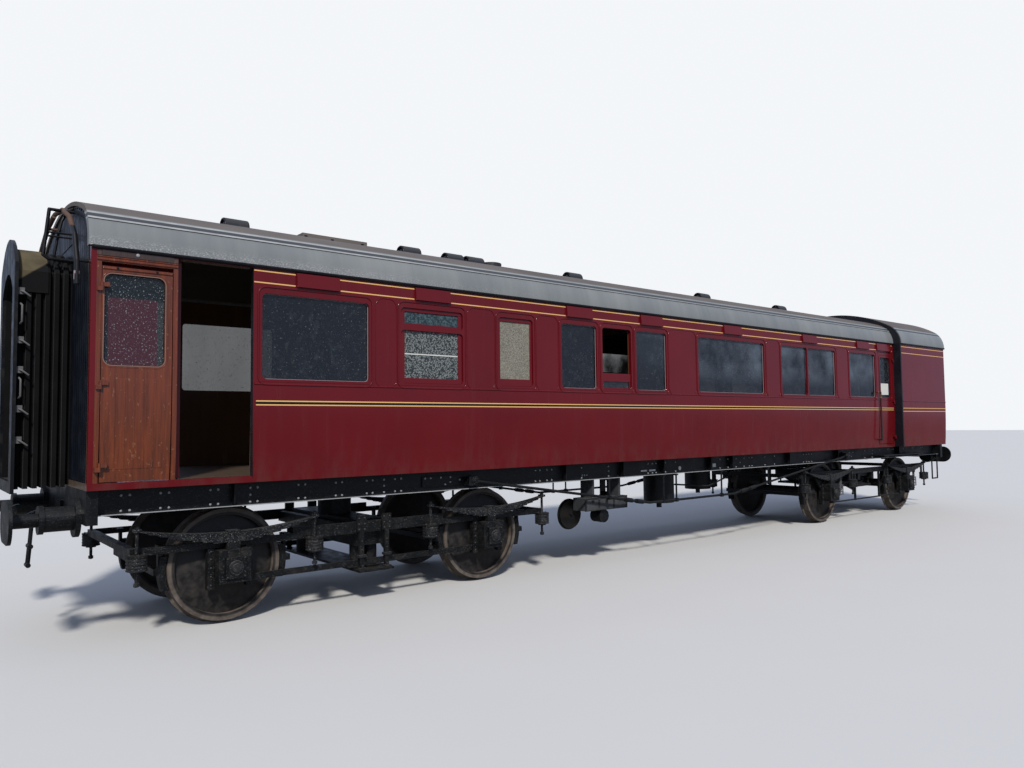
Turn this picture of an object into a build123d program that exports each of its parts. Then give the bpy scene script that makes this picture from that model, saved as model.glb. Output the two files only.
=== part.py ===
from build123d import *
import math
import os

os.makedirs("parts", exist_ok=True)

# An old maroon bogie test coach: gangway end at -X, lookout end at +X, the same on both sides.
# Sizes are in millimetres. A station is measured along the coach from the gangway-end body corner,
# and a height from the top of the rail. The origin is at floor level, midway between the headstocks.

# Overall
flange_depth = 28
frame_length = 16460
frame_start = 11
frame_middle = frame_start + frame_length / 2
frame_stop = frame_start + frame_length
drawn_frame = 16460
seat_gap = 0.3
door_gap = 7
leaf_bevel = 14

# Body section
body_half = 1300
wall = 60
side_foot = 1330
floor_top = 1390
waist = 2243
eave = 3360
turn_under = 30
roof_skin = 35
crown = 3945
corner_share = 0.718
lookout_corner_share = 0.6
roof_overhang = 14
roof_end_lip = 20
end_wall_thick = 46
end_inset = 4

# Lookout end
lookout_end = frame_stop - 341
lookout_length = 1992
lookout_start = lookout_end - lookout_length
lookout_front = 40
lookout_proud = 143
lookout_rise = 115
lookout_crown = crown + lookout_rise
bow = 240

# Windows
window_foot = 2290
window_head = 3100
window_corner = 45
frame_rim = 25
frame_proud = 3
rebate = 8
glass = 8
opening_foot = window_foot - frame_rim
opening_head = window_head + frame_rim

# Doors
doorway_start = 41
doorway_end = 1355
wood_door_end = 684
post_width = 38
post_gap = 5
wood_door_head = 3197
door_rail_foot = 3232
header_foot = 3283
doorway_foot = 1390
doorway_head = 3330
slide_leaf = 40
slide_width = 680
end_door_width = 586
end_door_end = lookout_start - 43
end_door_start = end_door_end - end_door_width
end_door_head = 3165

# Underframe
solebar_foot = 1107
solebar_face = 1150
solebar_flange = 78
plate = 12
headstock_depth = 290
headstock_half = 1200
buffer_reach = 530
buffer_centre = 870
buffer_height = 1085

# Bogies
bogie_overhang = 2795
frame_end = 2400
drawn_inner_run = 3035
bogie_a_station = frame_start + bogie_overhang
bogie_b_station = frame_stop - bogie_overhang
wheelbase = 3048
wheel_radius = 533.5
wheel_back = 680
wheel_width = 135
axle_radius = 75
journal_radius = 62
journal_end = 1070
spring_line = 985
spring_half = 830
side_frame_y = 914
side_frame_plate = 28
pivot_height = 1055
pivot_radius = 190
pivot_gap = 0.5
block_gap = 8

# Measuring wheel
gauge_arm_offset = -1641
gauge_arm_reach = 743
gauge_arm_height = 860
gauge_wheel_height = 634
gauge_wheel_radius = 190
gauge_wheel_flange = 15
rail_line = 750


def at(station):
    return station - frame_middle


def up(height):
    return height + flange_depth


def spread(offset):
    # The place of what hangs under the frame, drawn at an offset from its middle.
    return offset * frame_length / drawn_frame


def between(offset):
    # An offset from the middle that keeps its share of the run between the bogies' inner ends.
    return offset * (frame_length / 2 - bogie_overhang - frame_end) / drawn_inner_run


def block(x0, x1, y0, y1, z0, z1):
    size = (abs(x1 - x0), abs(y1 - y0), abs(z1 - z0))
    return Pos((x0 + x1) / 2, (y0 + y1) / 2, (z0 + z1) / 2) * Box(*size)


def tube(start, end, radius):
    line = Vector(*end) - Vector(*start)
    plane = Plane(origin=start, z_dir=line.normalized())
    return extrude(plane * Circle(radius), amount=line.length)


def rod(start, end, radius, sides=12):
    # A slim bar or disc with flats in place of a full round.
    line = Vector(*end) - Vector(*start)
    plane = Plane(origin=start, z_dir=line.normalized())
    return extrude(plane * RegularPolygon(radius, sides), amount=line.length)


def bent_rod(points, radius, sides=12):
    # A bar that follows straight runs, mitred where they meet.
    path = Polyline(*points)
    start = Plane(origin=points[0], z_dir=(Vector(*points[1]) - Vector(*points[0])).normalized())
    return sweep(start * RegularPolygon(radius, sides), path=path, transition=Transition.RIGHT)


def plate_y(x0, x1, z0, z1, y0, y1, corner=0):
    # A plate that faces sideways, with rounded corners.
    plane = Plane(origin=((x0 + x1) / 2, y0, (z0 + z1) / 2), x_dir=(1, 0, 0), z_dir=(0, 1, 0))
    if corner:
        shape = RectangleRounded(x1 - x0, z1 - z0, corner)
    else:
        shape = Rectangle(x1 - x0, z1 - z0)
    return extrude(plane * shape, amount=y1 - y0)


def outline(plane, start, steps):
    # Steps are ("line", u, v) or ("arc", u of a point on the way, v of it, u, v).
    edges = []
    here = start
    for step in steps:
        if math.dist(here, step[-2:]) > 0.001:
            edges.append(Line(here, step[1:3]) if step[0] == "line" else ThreePointArc(here, step[1:3],
                                                                                       step[3:5]))
        here = step[-2:]
    return plane * make_face(Wire(edges))


def across(start, steps, x0, x1):
    # A section in the plane across the coach, (y, z), carried along it.
    face = outline(Plane(origin=(x0, 0, 0), x_dir=(0, 1, 0), z_dir=(1, 0, 0)), start, steps)
    return extrude(face, amount=x1 - x0)


def along(start, steps, y0, y1):
    # An outline seen from the side, (x, z), carried across the coach.
    face = outline(Plane(origin=(0, y1, 0), x_dir=(1, 0, 0), z_dir=(0, -1, 0)), start, steps)
    return extrude(face, amount=y1 - y0)


def other_side(solid):
    return mirror(solid, about=Plane.XZ)


def both_sides(solids):
    return [piece for solid in solids for piece in (solid, other_side(solid))]


def write(name, solids):
    pieces = []
    for solid in solids:
        pieces += list(solid.solids())
    export_step(Compound(pieces) if len(pieces) > 1 else pieces[0], f"parts/{name}.step")


# Body section curves

def side_curve(y, height):
    # How far the side stands out at a height; below the waist it turns under.
    drop = max(0, (waist - height) / (waist - side_foot))
    return y - turn_under * drop * drop


def side_strip(y_out, thickness, foot, head, x0, x1):
    # A length of side wall of the +Y side.
    y_in = y_out - thickness
    if foot >= waist:
        return block(x0, x1, y_in, y_out, up(foot), up(head))
    bend = min(head, waist)
    middle = (bend + foot) / 2
    steps = [
        ("arc", side_curve(y_out, middle), up(middle), side_curve(y_out, foot), up(foot)),
        ("line", side_curve(y_in, foot), up(foot)),
        ("arc", side_curve(y_in, middle), up(middle), side_curve(y_in, bend), up(bend)),
        ("line", side_curve(y_in, head), up(head)),
        ("line", side_curve(y_out, head), up(head)),
        ("line", side_curve(y_out, bend), up(bend)),
    ]
    return across((side_curve(y_out, bend), up(bend)), steps, x0, x1)


def roof_arc(half, top, share):
    # Three-centred arch over the eaves: the points where its arcs meet and pass.
    rise = top - eave
    corner = rise * share
    main = ((half - corner) ** 2 + rise**2 - corner**2) / (2 * (rise - corner))
    turn = math.atan2(half - corner, main - rise)
    joint = (main * math.sin(turn), up(top) - main * (1 - math.cos(turn)))
    half_turn = (math.pi / 2 - turn) / 2
    passing = (half - corner + corner * math.cos(half_turn), up(eave) + corner * math.sin(half_turn))
    return joint, passing


def roof_outline(half, top, share):
    # Steps from the +Y eave over the crown to the -Y eave.
    joint, passing = roof_arc(half, top, share)
    return [
        ("arc", *passing, *joint),
        ("arc", 0, up(top), -joint[0], joint[1]),
        ("arc", -passing[0], passing[1], -half, up(eave)),
    ]


def arch_solid(half, top, share, x0, x1, foot=eave):
    # The whole body section from a foot level up to the roof line.
    steps = [("line", half, up(eave))] if foot < eave else []
    steps += roof_outline(half, top, share)
    steps += [("line", -half, up(foot)), ("line", half, up(foot))]
    return across((half, up(foot)), steps, x0, x1)


lookout_half = body_half + lookout_proud
body_start = at(0)
end_front = body_start + end_inset
body_end = at(lookout_start)
shell_start = body_end + lookout_front

# Windows of the +Y side, spaced in proportion over the run between its two doors.
# Station of the left edge, station of the right edge, kind of glass, station of a bar or 0, hood or not.
drawn_run = 12154
windows = [
    (1438, 2560, "clear", 0, True),
    (2938, 3742, "toplight", 0, True),
    (4250, 4778, "frosted", 0, False),
    (5250, 5869, "clear", 0, True),
    (5974, 6526, "lowered", 0, False),
    (6629, 7256, "clear", 0, True),
    (7979, 9672, "clear", 0, True),
    (10178, 11900, "clear", 10977, True),
    (12412, 13385, "clear", 0, True),
]


def on_side(station):
    # The place of a drawn station on a side of this length.
    return at(doorway_end + (station - doorway_end) * (end_door_start - doorway_end) / drawn_run)


toplight_foot = 2890
main_light_head = 2860
bar_width = 34
lowered_head = 2470
cut_reach = 100


def glaze(solid, light, y, corner, pane_head=None):
    # Cuts a light with round corners, and behind its edge a rebate for a pane, which it gives too.
    x0, x1, foot, head = light
    solid = solid - plate_y(x0, x1, up(foot), up(head), y - cut_reach, y + cut_reach, corner)
    solid = solid - block(x0 - rebate, x1 + rebate, y - seat_gap, y + glass + seat_gap,
                          up(foot) - rebate, up(head) + rebate)
    play = rebate - seat_gap
    pane_top = up(pane_head) if pane_head else up(head) + play
    return solid, block(x0 - play, x1 + play, y, y + glass, up(foot) - play, pane_top)


# Panels of the +Y side with their seams: height of the foot, height of the head, left edge, right edge
def panel(foot, head, x0, x1):
    half_seam = seat_gap / 2
    return side_strip(body_half, wall, foot + half_seam, head - half_seam, x0 + half_seam, x1 - half_seam)


way_x0, way_x1 = at(doorway_start), at(doorway_end)
end_way_x0, end_way_x1 = at(end_door_start), at(end_door_end)
window_spans = [(on_side(left) - frame_rim, on_side(right) + frame_rim) for left, right, *_ in windows]
pier_starts = [way_x1] + [x1 for x0, x1 in window_spans]
pier_ends = [x0 for x0, x1 in window_spans] + [end_way_x0]
panels = [
    (side_foot, doorway_foot, body_start, body_end),
    (doorway_foot, opening_foot, way_x1, end_way_x0),
    (opening_head, eave, way_x1, end_way_x0),
    (end_door_head, eave, end_way_x0, body_end),
    (doorway_foot, doorway_head, body_start, way_x0),
]
panels += [(opening_foot, opening_head, x0, x1) for x0, x1 in zip(pier_starts, pier_ends)]
side_panels = [panel(*row) for row in panels]
end_post = panel(doorway_foot, end_door_head, end_way_x1, body_end)

# The rail over the double doorway carries the track of the sliding leaf on its inner face
track_foot = doorway_head + 6
track_deep = 20
slide_out = body_half - turn_under - wall - 10
slide_start = end_inset + end_wall_thick + 8
door_rail = panel(doorway_head, eave, body_start, way_x1)
door_rail = door_rail + block(at(slide_start) - door_gap, way_x1 - 1, slide_out - slide_leaf,
                              body_half - wall,
                              up(track_foot), up(track_foot + track_deep))

# Window frames in the openings, each with its lights
window_frames = []
clear_panes = []
frosted_panes = []
pane_in = body_half - wall / 2 - glass / 2
for (x0, x1), (left, right, kind, bar, hooded) in zip(window_spans, windows):
    frame = block(x0 + seat_gap, x1 - seat_gap, body_half - wall, body_half + frame_proud,
                  up(opening_foot) + seat_gap, up(opening_head) - seat_gap)
    x0, x1 = on_side(left), on_side(right)
    lights = [(x0, x1, window_foot, window_head)]
    if kind == "toplight":
        lights = [(x0, x1, window_foot, main_light_head), (x0, x1, toplight_foot, window_head)]
    if bar:
        lights = [(x0, on_side(bar) - bar_width / 2, window_foot, window_head),
                  (on_side(bar) + bar_width / 2, x1, window_foot, window_head)]
    for light in lights:
        frame, pane = glaze(frame, light, pane_in, window_corner,
                            lowered_head if kind == "lowered" else None)
        (frosted_panes if kind in ("frosted", "toplight") else clear_panes).append(pane)
    window_frames.append(frame)
write("window_frames", both_sides(window_frames))
write("clear_glass", both_sides(clear_panes))
write("frosted_glass", both_sides(frosted_panes))

# Main roof
roof_half = body_half + roof_overhang
roof = arch_solid(roof_half, crown, corner_share, body_start - roof_end_lip, body_end)
roof = roof - arch_solid(body_half - wall, crown - roof_skin, corner_share,
                         body_start - roof_end_lip - 1, body_end + 1, eave - 10)
# Rain strips along both shoulders, cut from a slightly larger roof section
strip_foot = 3600
strip_head = 3670
strip_proud = 9
shell = arch_solid(roof_half + strip_proud, crown + strip_proud, corner_share, body_start - roof_end_lip,
                   body_end)
shell = shell - arch_solid(roof_half - 2, crown - 2, corner_share, body_start - roof_end_lip - 1,
                           body_end + 1, eave - 10)
for side_sign in (-1, 1):
    band = block(body_start - roof_end_lip - 1, body_end + 1, side_sign * 900, side_sign * (roof_half + 50),
                 up(strip_foot), up(strip_head))
    roof = roof + (shell & band)
write("roof", [roof])

# End wall at the gangway end
gangway_half = 380
gangway_foot = floor_top
gangway_spring = 3080
gangway_top = 3260
inner_half = body_half - wall


def body_inside(x0, x1, half, top, share, foot):
    # The space between the sides and under the roof, less a small seat gap, as a solid.
    y = half - seat_gap
    middle = (waist + foot) / 2
    steps = [
        ("arc", side_curve(y, middle), up(middle), y, up(waist)),
        ("line", y, up(eave)),
    ]
    steps += roof_outline(y, top - seat_gap, share)
    steps += [
        ("line", -y, up(waist)),
        ("arc", -side_curve(y, middle), up(middle), -side_curve(y, foot), up(foot)),
        ("line", side_curve(y, foot), up(foot)),
    ]
    return across((side_curve(y, foot), up(foot)), steps, x0, x1)


def arch_way(half, spring, top, foot, x0, x1):
    steps = [
        ("line", half, up(spring)),
        ("arc", 0, up(top), -half, up(spring)),
        ("line", -half, up(foot)),
        ("line", half, up(foot)),
    ]
    return across((half, up(foot)), steps, x0, x1)


end_wall = body_inside(end_front, end_front + end_wall_thick, inner_half, crown - roof_skin, corner_share,
                       floor_top)
end_wall = end_wall - arch_way(gangway_half, gangway_spring, gangway_top, gangway_foot - 5, end_front - 50,
                               end_front + end_wall_thick + 5)
write("gangway_end_wall", [end_wall])

# Lookout front: the step from the main section out to the wider and taller one
front = arch_solid(lookout_half, lookout_crown, lookout_corner_share, body_end, shell_start, side_foot)
front = front - body_inside(body_end - 1, shell_start + 1, inner_half, crown - roof_skin, corner_share,
                            side_foot - 5)
write("lookout_front", [front])

# Lookout sides, roof and bowed end
lookout_x = at(lookout_end)
look_side = side_strip(lookout_half, wall, side_foot, eave, shell_start, lookout_x)
write("lookout_sides", both_sides([look_side]))

look_roof_half = lookout_half + roof_overhang


def bow_plan(half, x0, corner_x, centre_x, z0, z1):
    plane = Plane(origin=(0, 0, z0))
    steps = [
        ("line", corner_x, -half),
        ("arc", centre_x, 0, corner_x, half),
        ("line", x0, half),
        ("line", x0, -half),
    ]
    return extrude(outline(plane, (x0, -half), steps), amount=z1 - z0)


roof_nose = lookout_x + 12
look_roof = arch_solid(look_roof_half, lookout_crown, lookout_corner_share, shell_start,
                       lookout_x + bow + 40)
look_roof = look_roof - arch_solid(lookout_half - wall, lookout_crown - roof_skin, lookout_corner_share,
                                   shell_start - 1, lookout_x + bow + 50, eave - 10)
look_roof = look_roof & bow_plan(look_roof_half, shell_start, roof_nose, roof_nose + bow, up(eave),
                                 up(lookout_crown) + 10)
write("lookout_roof", [look_roof])

look_inside = body_inside(shell_start, lookout_x + bow + 60, lookout_half - wall, lookout_crown - roof_skin,
                          lookout_corner_share, floor_top)
bow_outer = bow_plan(lookout_half, lookout_x - 700, lookout_x, lookout_x + bow, up(floor_top),
                     up(lookout_crown))
bow_inner = bow_plan(lookout_half, lookout_x - 800, lookout_x - wall, lookout_x - wall + bow,
                     up(floor_top) - 5, up(lookout_crown) + 5)
write("lookout_end_wall", [look_inside & (bow_outer - bow_inner)])

# Floor
floor_half = side_curve(inner_half, side_foot) - seat_gap
look_floor_half = side_curve(lookout_half - wall, side_foot) - seat_gap
floor = block(end_front, body_end + 5, -floor_half, floor_half, up(side_foot), up(floor_top))
look_floor = bow_plan(look_floor_half, shell_start, lookout_x, lookout_x + bow, up(side_foot),
                      up(floor_top))
floor_link = block(body_end, shell_start + 5, -floor_half, floor_half, up(side_foot), up(floor_top))
write("floor", [floor + floor_link + look_floor])

# Partitions: station, doorway centre across the coach, doorway half width
partitions = [
    (2745, 250, 300),
    (3985, 250, 300),
    (5026, 250, 300),
    (7608, 0, 320),
]
partition_half = 15
partition_door_head = 3250
walls = []
for station, door_y, door_half in partitions:
    x = on_side(station)
    panel = body_inside(x - partition_half, x + partition_half, inner_half, crown - roof_skin, corner_share,
                        floor_top)
    panel = panel - block(x - 50, x + 50, door_y - door_half, door_y + door_half, up(floor_top) - 5,
                          up(partition_door_head))
    walls.append(panel)
write("partitions", walls)

# Waist mouldings and gutters: start station, end station, outer face, height, depth, proud
rail_runs = [
    (doorway_end + 10, end_door_start - 10, body_half, waist, 22, 8),
    (lookout_start + lookout_front, lookout_end - 2, lookout_half, waist - 26, 22, 10),
]
rails = []
for start, end, face, height, deep, proud in rail_runs:
    steps = [
        ("line", face, up(height - deep / 2)),
        ("arc", face + proud, up(height), face, up(height + deep / 2)),
    ]
    rails.append(across((face, up(height + deep / 2)), steps, at(start), at(end)))
write("waist_rails", both_sides(rails))

gutter_deep = 26
gutter_out = 30
gutters = []
for start, end, half in [(0, lookout_start, body_half),
                         (lookout_start + lookout_front, lookout_end, lookout_half)]:
    steps = [
        ("line", half + gutter_out, up(eave)),
        ("line", half + gutter_out, up(eave - gutter_deep * 0.4)),
        ("arc", half + gutter_out * 0.7, up(eave - gutter_deep * 0.9), half, up(eave - gutter_deep)),
        ("line", half, up(eave)),
    ]
    gutters.append(across((half, up(eave)), steps, at(start), at(end)))
write("gutters", both_sides(gutters))

# Ventilator hoods over the middle of the hooded windows and over the end door, deeper at the foot
hood_length = 450
end_hood_length = 560
hood_foot = 3190
hood_head = 3325
hood_proud = 34
hood_top_proud = 20
hood_places = [(on_side((left + right) / 2), hood_length) for left, right, kind, bar,
               hooded in windows if hooded]
hood_places.append((at(end_door_start + end_door_width / 2 - 80), end_hood_length))
hoods = []
for x, length in hood_places:
    steps = [
        ("line", body_half + hood_proud, up(hood_foot)),
        ("line", body_half + hood_top_proud, up(hood_head)),
        ("line", body_half, up(hood_head)),
        ("line", body_half, up(hood_foot)),
    ]
    hoods.append(across((body_half, up(hood_foot)), steps, x - length / 2, x + length / 2))
write("vent_hoods", both_sides(hoods))

# Roof ventilators on the ridge: station, kind
roof_vents = [(1620, "torpedo"), (3390, "cap"), (3830, "torpedo"), (4500, "torpedo"), (4840, "torpedo"),
              (5140, "dish"), (6690, "torpedo"), (9820, "torpedo"), (12240, "torpedo")]
vent_neck = 60
vent_shell = 96
vent_length = 250
vent_recess = 26
vent_drop = 22
vent_sides = 20
dish_radius = 150
vents = []
ridge = up(crown)


def torpedo_vent(x):
    # A drum along the coach, sunk a little over its neck, with a ring and a stepped cone in each end.
    z = ridge + vent_shell - vent_drop
    drum = rod((x - vent_length / 2, 0, z), (x + vent_length / 2, 0, z), vent_shell, vent_sides)
    for end in (-1, 1):
        face = x + end * vent_length / 2
        well = rod((face + end, 0, z), (face - end * vent_recess, 0, z), vent_shell * 0.8, vent_sides)
        cone = rod((face - end * vent_recess * 1.5, 0, z), (face - end * 6, 0, z), vent_shell * 0.52,
                   vent_sides)
        drum = drum - well + cone
    neck = rod((x, 0, ridge - 30), (x, 0, z), vent_neck, vent_sides)
    return drum + neck - vent_seat


vent_seat = arch_solid(roof_half, crown + seat_gap, corner_share, body_start, body_end, eave)
for station, kind in roof_vents:
    x = on_side(station)
    if kind == "torpedo":
        vents.append(torpedo_vent(x))
    elif kind == "dish":
        neck = rod((x, 0, ridge + seat_gap), (x, 0, ridge + 70), vent_neck, vent_sides)
        plate_top = rod((x, 0, ridge + 70), (x, 0, ridge + 112), dish_radius, vent_sides)
        vents.append(neck + plate_top - rod((x, 0, ridge + 84), (x, 0, ridge + 130), dish_radius - 18,
                                            vent_sides))
    else:
        post = rod((x, 0, ridge + seat_gap), (x, 0, ridge + 62), 18)
        vents.append(post + rod((x, 0, ridge + 30), (x, 0, ridge + 52), 34))
write("roof_vents", vents)

# Raised hatch on the roof, shaped to the crown
hatch_start = 2260
hatch_end = 3060
hatch_half = 330
hatch_rise = 55
hatch = block(on_side(hatch_start), on_side(hatch_end), -hatch_half, hatch_half, up(crown) - 60,
              up(crown) + hatch_rise)
hatch = hatch - vent_seat
write("roof_hatch", [hatch])

# Doors of the +Y side; the other side mirrors them

def leaf_blank(x0, x1, foot, head):
    # A leaf as curved as the side, bevelled at both edges so that it swings clear.
    leaf = side_strip(body_half, leaf_thick, foot, head, x0, x1)
    for edge, inward in ((x0, 1), (x1, -1)):
        deep = body_half - bevel_depth
        corners = [(edge, body_half + 5), (edge + inward * leaf_bevel, deep), (edge - inward * 5, deep),
                   (edge - inward * 5, body_half + 5)]
        wedge = outline(Plane(origin=(0, 0, up(foot) - 5)), corners[-1],
                        [("line", *corner) for corner in corners])
        leaf = leaf - extrude(wedge, amount=head - foot + 10)
    return leaf


leaf_thick = wall - 10
bevel_depth = 95
hinge_y = body_half + 18
knuckle_radius = 10
knuckle_length = 36
pin_radius = 4
pin_play = 0.05
hinge_heights = (1520, 2200, 3020)
strap_fixed = 38
strap_leaf = 56


def hinge_halves(x, leaf_side, height):
    # The fixed knuckle with its pin, and the leaf's knuckle above it.
    # The value leaf_side is 1 where the leaf lies towards +X.
    face = side_curve(body_half, height)
    low, middle, high = up(height) - knuckle_length, up(height), up(height) + knuckle_length
    strap = (face - 4, hinge_y + 4)
    fixed = tube((x, hinge_y, low), (x, hinge_y, middle), knuckle_radius)
    fixed = fixed + tube((x, hinge_y, middle), (x, hinge_y, high), pin_radius)
    fixed = fixed + block(x, x - leaf_side * strap_fixed, *strap, low, middle)
    moving = tube((x, hinge_y, middle + seat_gap), (x, hinge_y, high), knuckle_radius)
    moving = moving + block(x, x + leaf_side * strap_leaf, *strap, middle + seat_gap, high)
    moving = moving - tube((x, hinge_y, low), (x, hinge_y, high + 5), pin_radius + pin_play)
    return fixed, moving


# Frame of the varnished door: a post at each side of the leaf, a rail and a header board
wood_x0 = way_x0 + post_width + post_gap
wood_x1 = at(wood_door_end) - post_width - door_gap
wood_light = (wood_x0 + 19, wood_x1 - 61, 2370, 3134)
header_proud = 8
hinge_post = side_strip(body_half, leaf_thick, doorway_foot + seat_gap, door_rail_foot, way_x0 + seat_gap,
                        way_x0 + post_width)
free_post = side_strip(body_half, leaf_thick, doorway_foot + seat_gap, door_rail_foot,
                       at(wood_door_end) - post_width,
                       at(wood_door_end))
frame_rail = block(way_x0 + seat_gap, at(wood_door_end), body_half - leaf_thick, body_half,
                   up(door_rail_foot) + seat_gap,
                   up(header_foot))
header = block(way_x0 + post_width, at(wood_door_end) - post_width, body_half - leaf_thick,
               body_half + header_proud,
               up(header_foot) + seat_gap, up(doorway_head) - seat_gap)
wood_door = leaf_blank(wood_x0, wood_x1, doorway_foot + door_gap, wood_door_head)
leaf_pane = body_half - leaf_thick / 2 - glass / 2
wood_door, wood_pane = glaze(wood_door, wood_light, leaf_pane, 60)
end_x0 = end_way_x0 + door_gap
end_x1 = end_way_x1 - door_gap
end_light = (end_x0 + 56, end_x1 - 100, window_foot, 3060)
end_door = leaf_blank(end_x0, end_x1, doorway_foot + door_gap, end_door_head - door_gap)
end_door, end_pane = glaze(end_door, end_light, leaf_pane, window_corner)
for height in hinge_heights:
    fixed, moving = hinge_halves(wood_x0 - 1, 1, height)
    hinge_post = hinge_post + fixed
    wood_door = wood_door + moving
    fixed, moving = hinge_halves(end_x1 + 1, -1, height)
    end_post = end_post + fixed
    end_door = end_door + moving
write("body_sides", both_sides(side_panels + [end_post, door_rail]))
write("door_frames", both_sides([hinge_post, free_post, frame_rail, header]))

# Sliding leaf, with hangers that hook over its track
hanger_thick = 8
hanger_width = 70
slide_x0 = at(slide_start)
slide_x1 = slide_x0 + slide_width
slide_in = slide_out - slide_leaf
slide_head = up(track_foot - door_gap)
slide_door = block(slide_x0, slide_x1, slide_in, slide_out, up(floor_top + door_gap), slide_head)
slide_light = (slide_x0 + 110, slide_x1 - 110, 2370, 3050)
slide_door, slide_pane = glaze(slide_door, slide_light, slide_in + slide_leaf / 2 - glass / 2, 40)
hook_y = slide_in - hanger_thick - seat_gap
for x in (slide_x0 + 60, slide_x1 - 130):
    hook_foot, track_top = up(track_foot - 120), up(track_foot + track_deep)
    slide_door = slide_door + block(x, x + hanger_width, hook_y, slide_in - seat_gap, hook_foot,
                                    track_top + 14)
    slide_door = slide_door + block(x, x + hanger_width, hook_y, slide_in, hook_foot, slide_head)
    slide_door = slide_door + block(x, x + hanger_width, hook_y, slide_out - 12, track_top + seat_gap,
                                    track_top + 14)
for name, flip in (("near", True), ("far", False)):
    turn = other_side if flip else (lambda solid: solid)
    write(f"wood_door_{name}", [turn(wood_door), turn(wood_pane)])
    write(f"slide_door_{name}", [turn(slide_door), turn(slide_pane)])
    write(f"end_door_{name}", [turn(end_door), turn(end_pane)])

# Grab handles beside the end doors: offset from the doorway, foot, head
handles = [(59, 1480, 2380)]
handle_radius = 14
handle_out = 58
grabs = []
for offset, foot, head in handles:
    x = end_way_x0 - offset
    y_bar = body_half + handle_out
    low = side_curve(body_half, foot + handle_radius) + seat_gap
    grabs.append(bent_rod([(x, low, up(foot)), (x, y_bar, up(foot)), (x, y_bar, up(head)),
                           (x, body_half + seat_gap, up(head))], handle_radius))
write("grab_handles", both_sides(grabs))

# Gangway: face plate, bellows, canvas strip and end pipes
face_x = at(-450)
face_thick = 28
face_half = 530
face_foot = 1290
face_spring = 3300
face_top = 3580
plate_ring = arch_way(face_half, face_spring, face_top, face_foot, face_x, face_x + face_thick)
plate_ring = plate_ring - arch_way(gangway_half, gangway_spring, gangway_top, gangway_foot, face_x - 5,
                                   face_x + face_thick + 5)
write("gangway_face_plate", [plate_ring])

bellows_folds = 6
bellows_grow = 40
bellows_half = gangway_half + 50
bellows_spring = face_spring - 60
bellows_top = face_top - 130
bellows_x0 = face_x + face_thick
bellows_x1 = end_front
fold = (bellows_x1 - bellows_x0) / (2 * bellows_folds)
bellows = None
for index in range(2 * bellows_folds):
    grow = bellows_grow if index % 2 == 0 else 0
    ring = arch_way(bellows_half + grow, bellows_spring, bellows_top + grow, gangway_foot - 45 - grow / 2,
                    bellows_x0 + index * fold, bellows_x0 + (index + 1) * fold)
    bellows = ring if bellows is None else bellows + ring
bellows = bellows - arch_way(gangway_half, gangway_spring, gangway_top, gangway_foot, bellows_x0 - 5,
                             bellows_x1 + 5)
write("gangway_bellows", [bellows])

canopy_x1 = at(-190)
canopy_thick = 10
canopy_half = bellows_half + bellows_grow + seat_gap
canopy_top = bellows_top + bellows_grow + seat_gap
canopy_foot = face_spring - 250
canopy = arch_way(canopy_half + canopy_thick, bellows_spring, canopy_top + canopy_thick, canopy_foot,
                  bellows_x0 + seat_gap, canopy_x1)
canopy = canopy - arch_way(canopy_half, bellows_spring, canopy_top, canopy_foot - 10, bellows_x0 - 5,
                           canopy_x1 + 5)
write("gangway_canopy", [canopy])

pipe_radius = 22
pipe_clip = 14
pipe_x = end_front - 90
pipe_run = [(0, 3880), (420, 3835), (800, 3690), (1060, 3480), (1185, 3240), (1190, 3040)]
pipes = []
for side_sign in (1, -1):
    points = [(pipe_x, side_sign * max(y, 30), up(height)) for y, height in pipe_run]
    pipe = bent_rod(points, pipe_radius)
    for spot in (points[1], points[4]):
        pipe = pipe + rod((end_front - seat_gap, spot[1], spot[2]), spot, pipe_clip)
    pipes.append(pipe)
write("end_pipes", pipes)

# Underframe: solebars, headstocks, members
frame_x0 = at(frame_start)
frame_x1 = frame_x0 + frame_length
headstock_thick = 90
web_face = solebar_face - solebar_flange
bar = block(frame_x0 + headstock_thick, frame_x1 - headstock_thick, web_face - plate, web_face,
            up(solebar_foot), up(side_foot))
for z0, z1 in ((solebar_foot, solebar_foot + plate), (side_foot - plate, side_foot)):
    bar = bar + block(frame_x0 + headstock_thick, frame_x1 - headstock_thick, web_face - plate,
                      solebar_face, up(z0), up(z1))
write("solebars", both_sides([bar]))

headstocks = []
for x0, x1 in ((frame_x0, frame_x0 + headstock_thick), (frame_x1 - headstock_thick, frame_x1)):
    headstocks.append(block(x0, x1, -headstock_half, headstock_half, up(side_foot - headstock_depth),
                            up(side_foot)))
write("headstocks", headstocks)

member_foot = 1140
member_inner = web_face - plate
long_y = 330
long_width = 70
cross_half = 45
cross_head = 1215
bogie_stations = {"a": bogie_a_station, "b": bogie_b_station}
bolster_span = 486
gauge_bearer_offset = -1941
# Offset from the middle, and what it keeps its share of
bearers = [
    (-6841, spread), (-3341, spread), (gauge_bearer_offset, between), (-641, between),
    (659, between), (1959, between), (3359, spread), (6959, spread),
]


def cross_bearer(x):
    return block(x - cross_half, x + cross_half, -member_inner, member_inner, up(member_foot),
                 up(cross_head))


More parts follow.
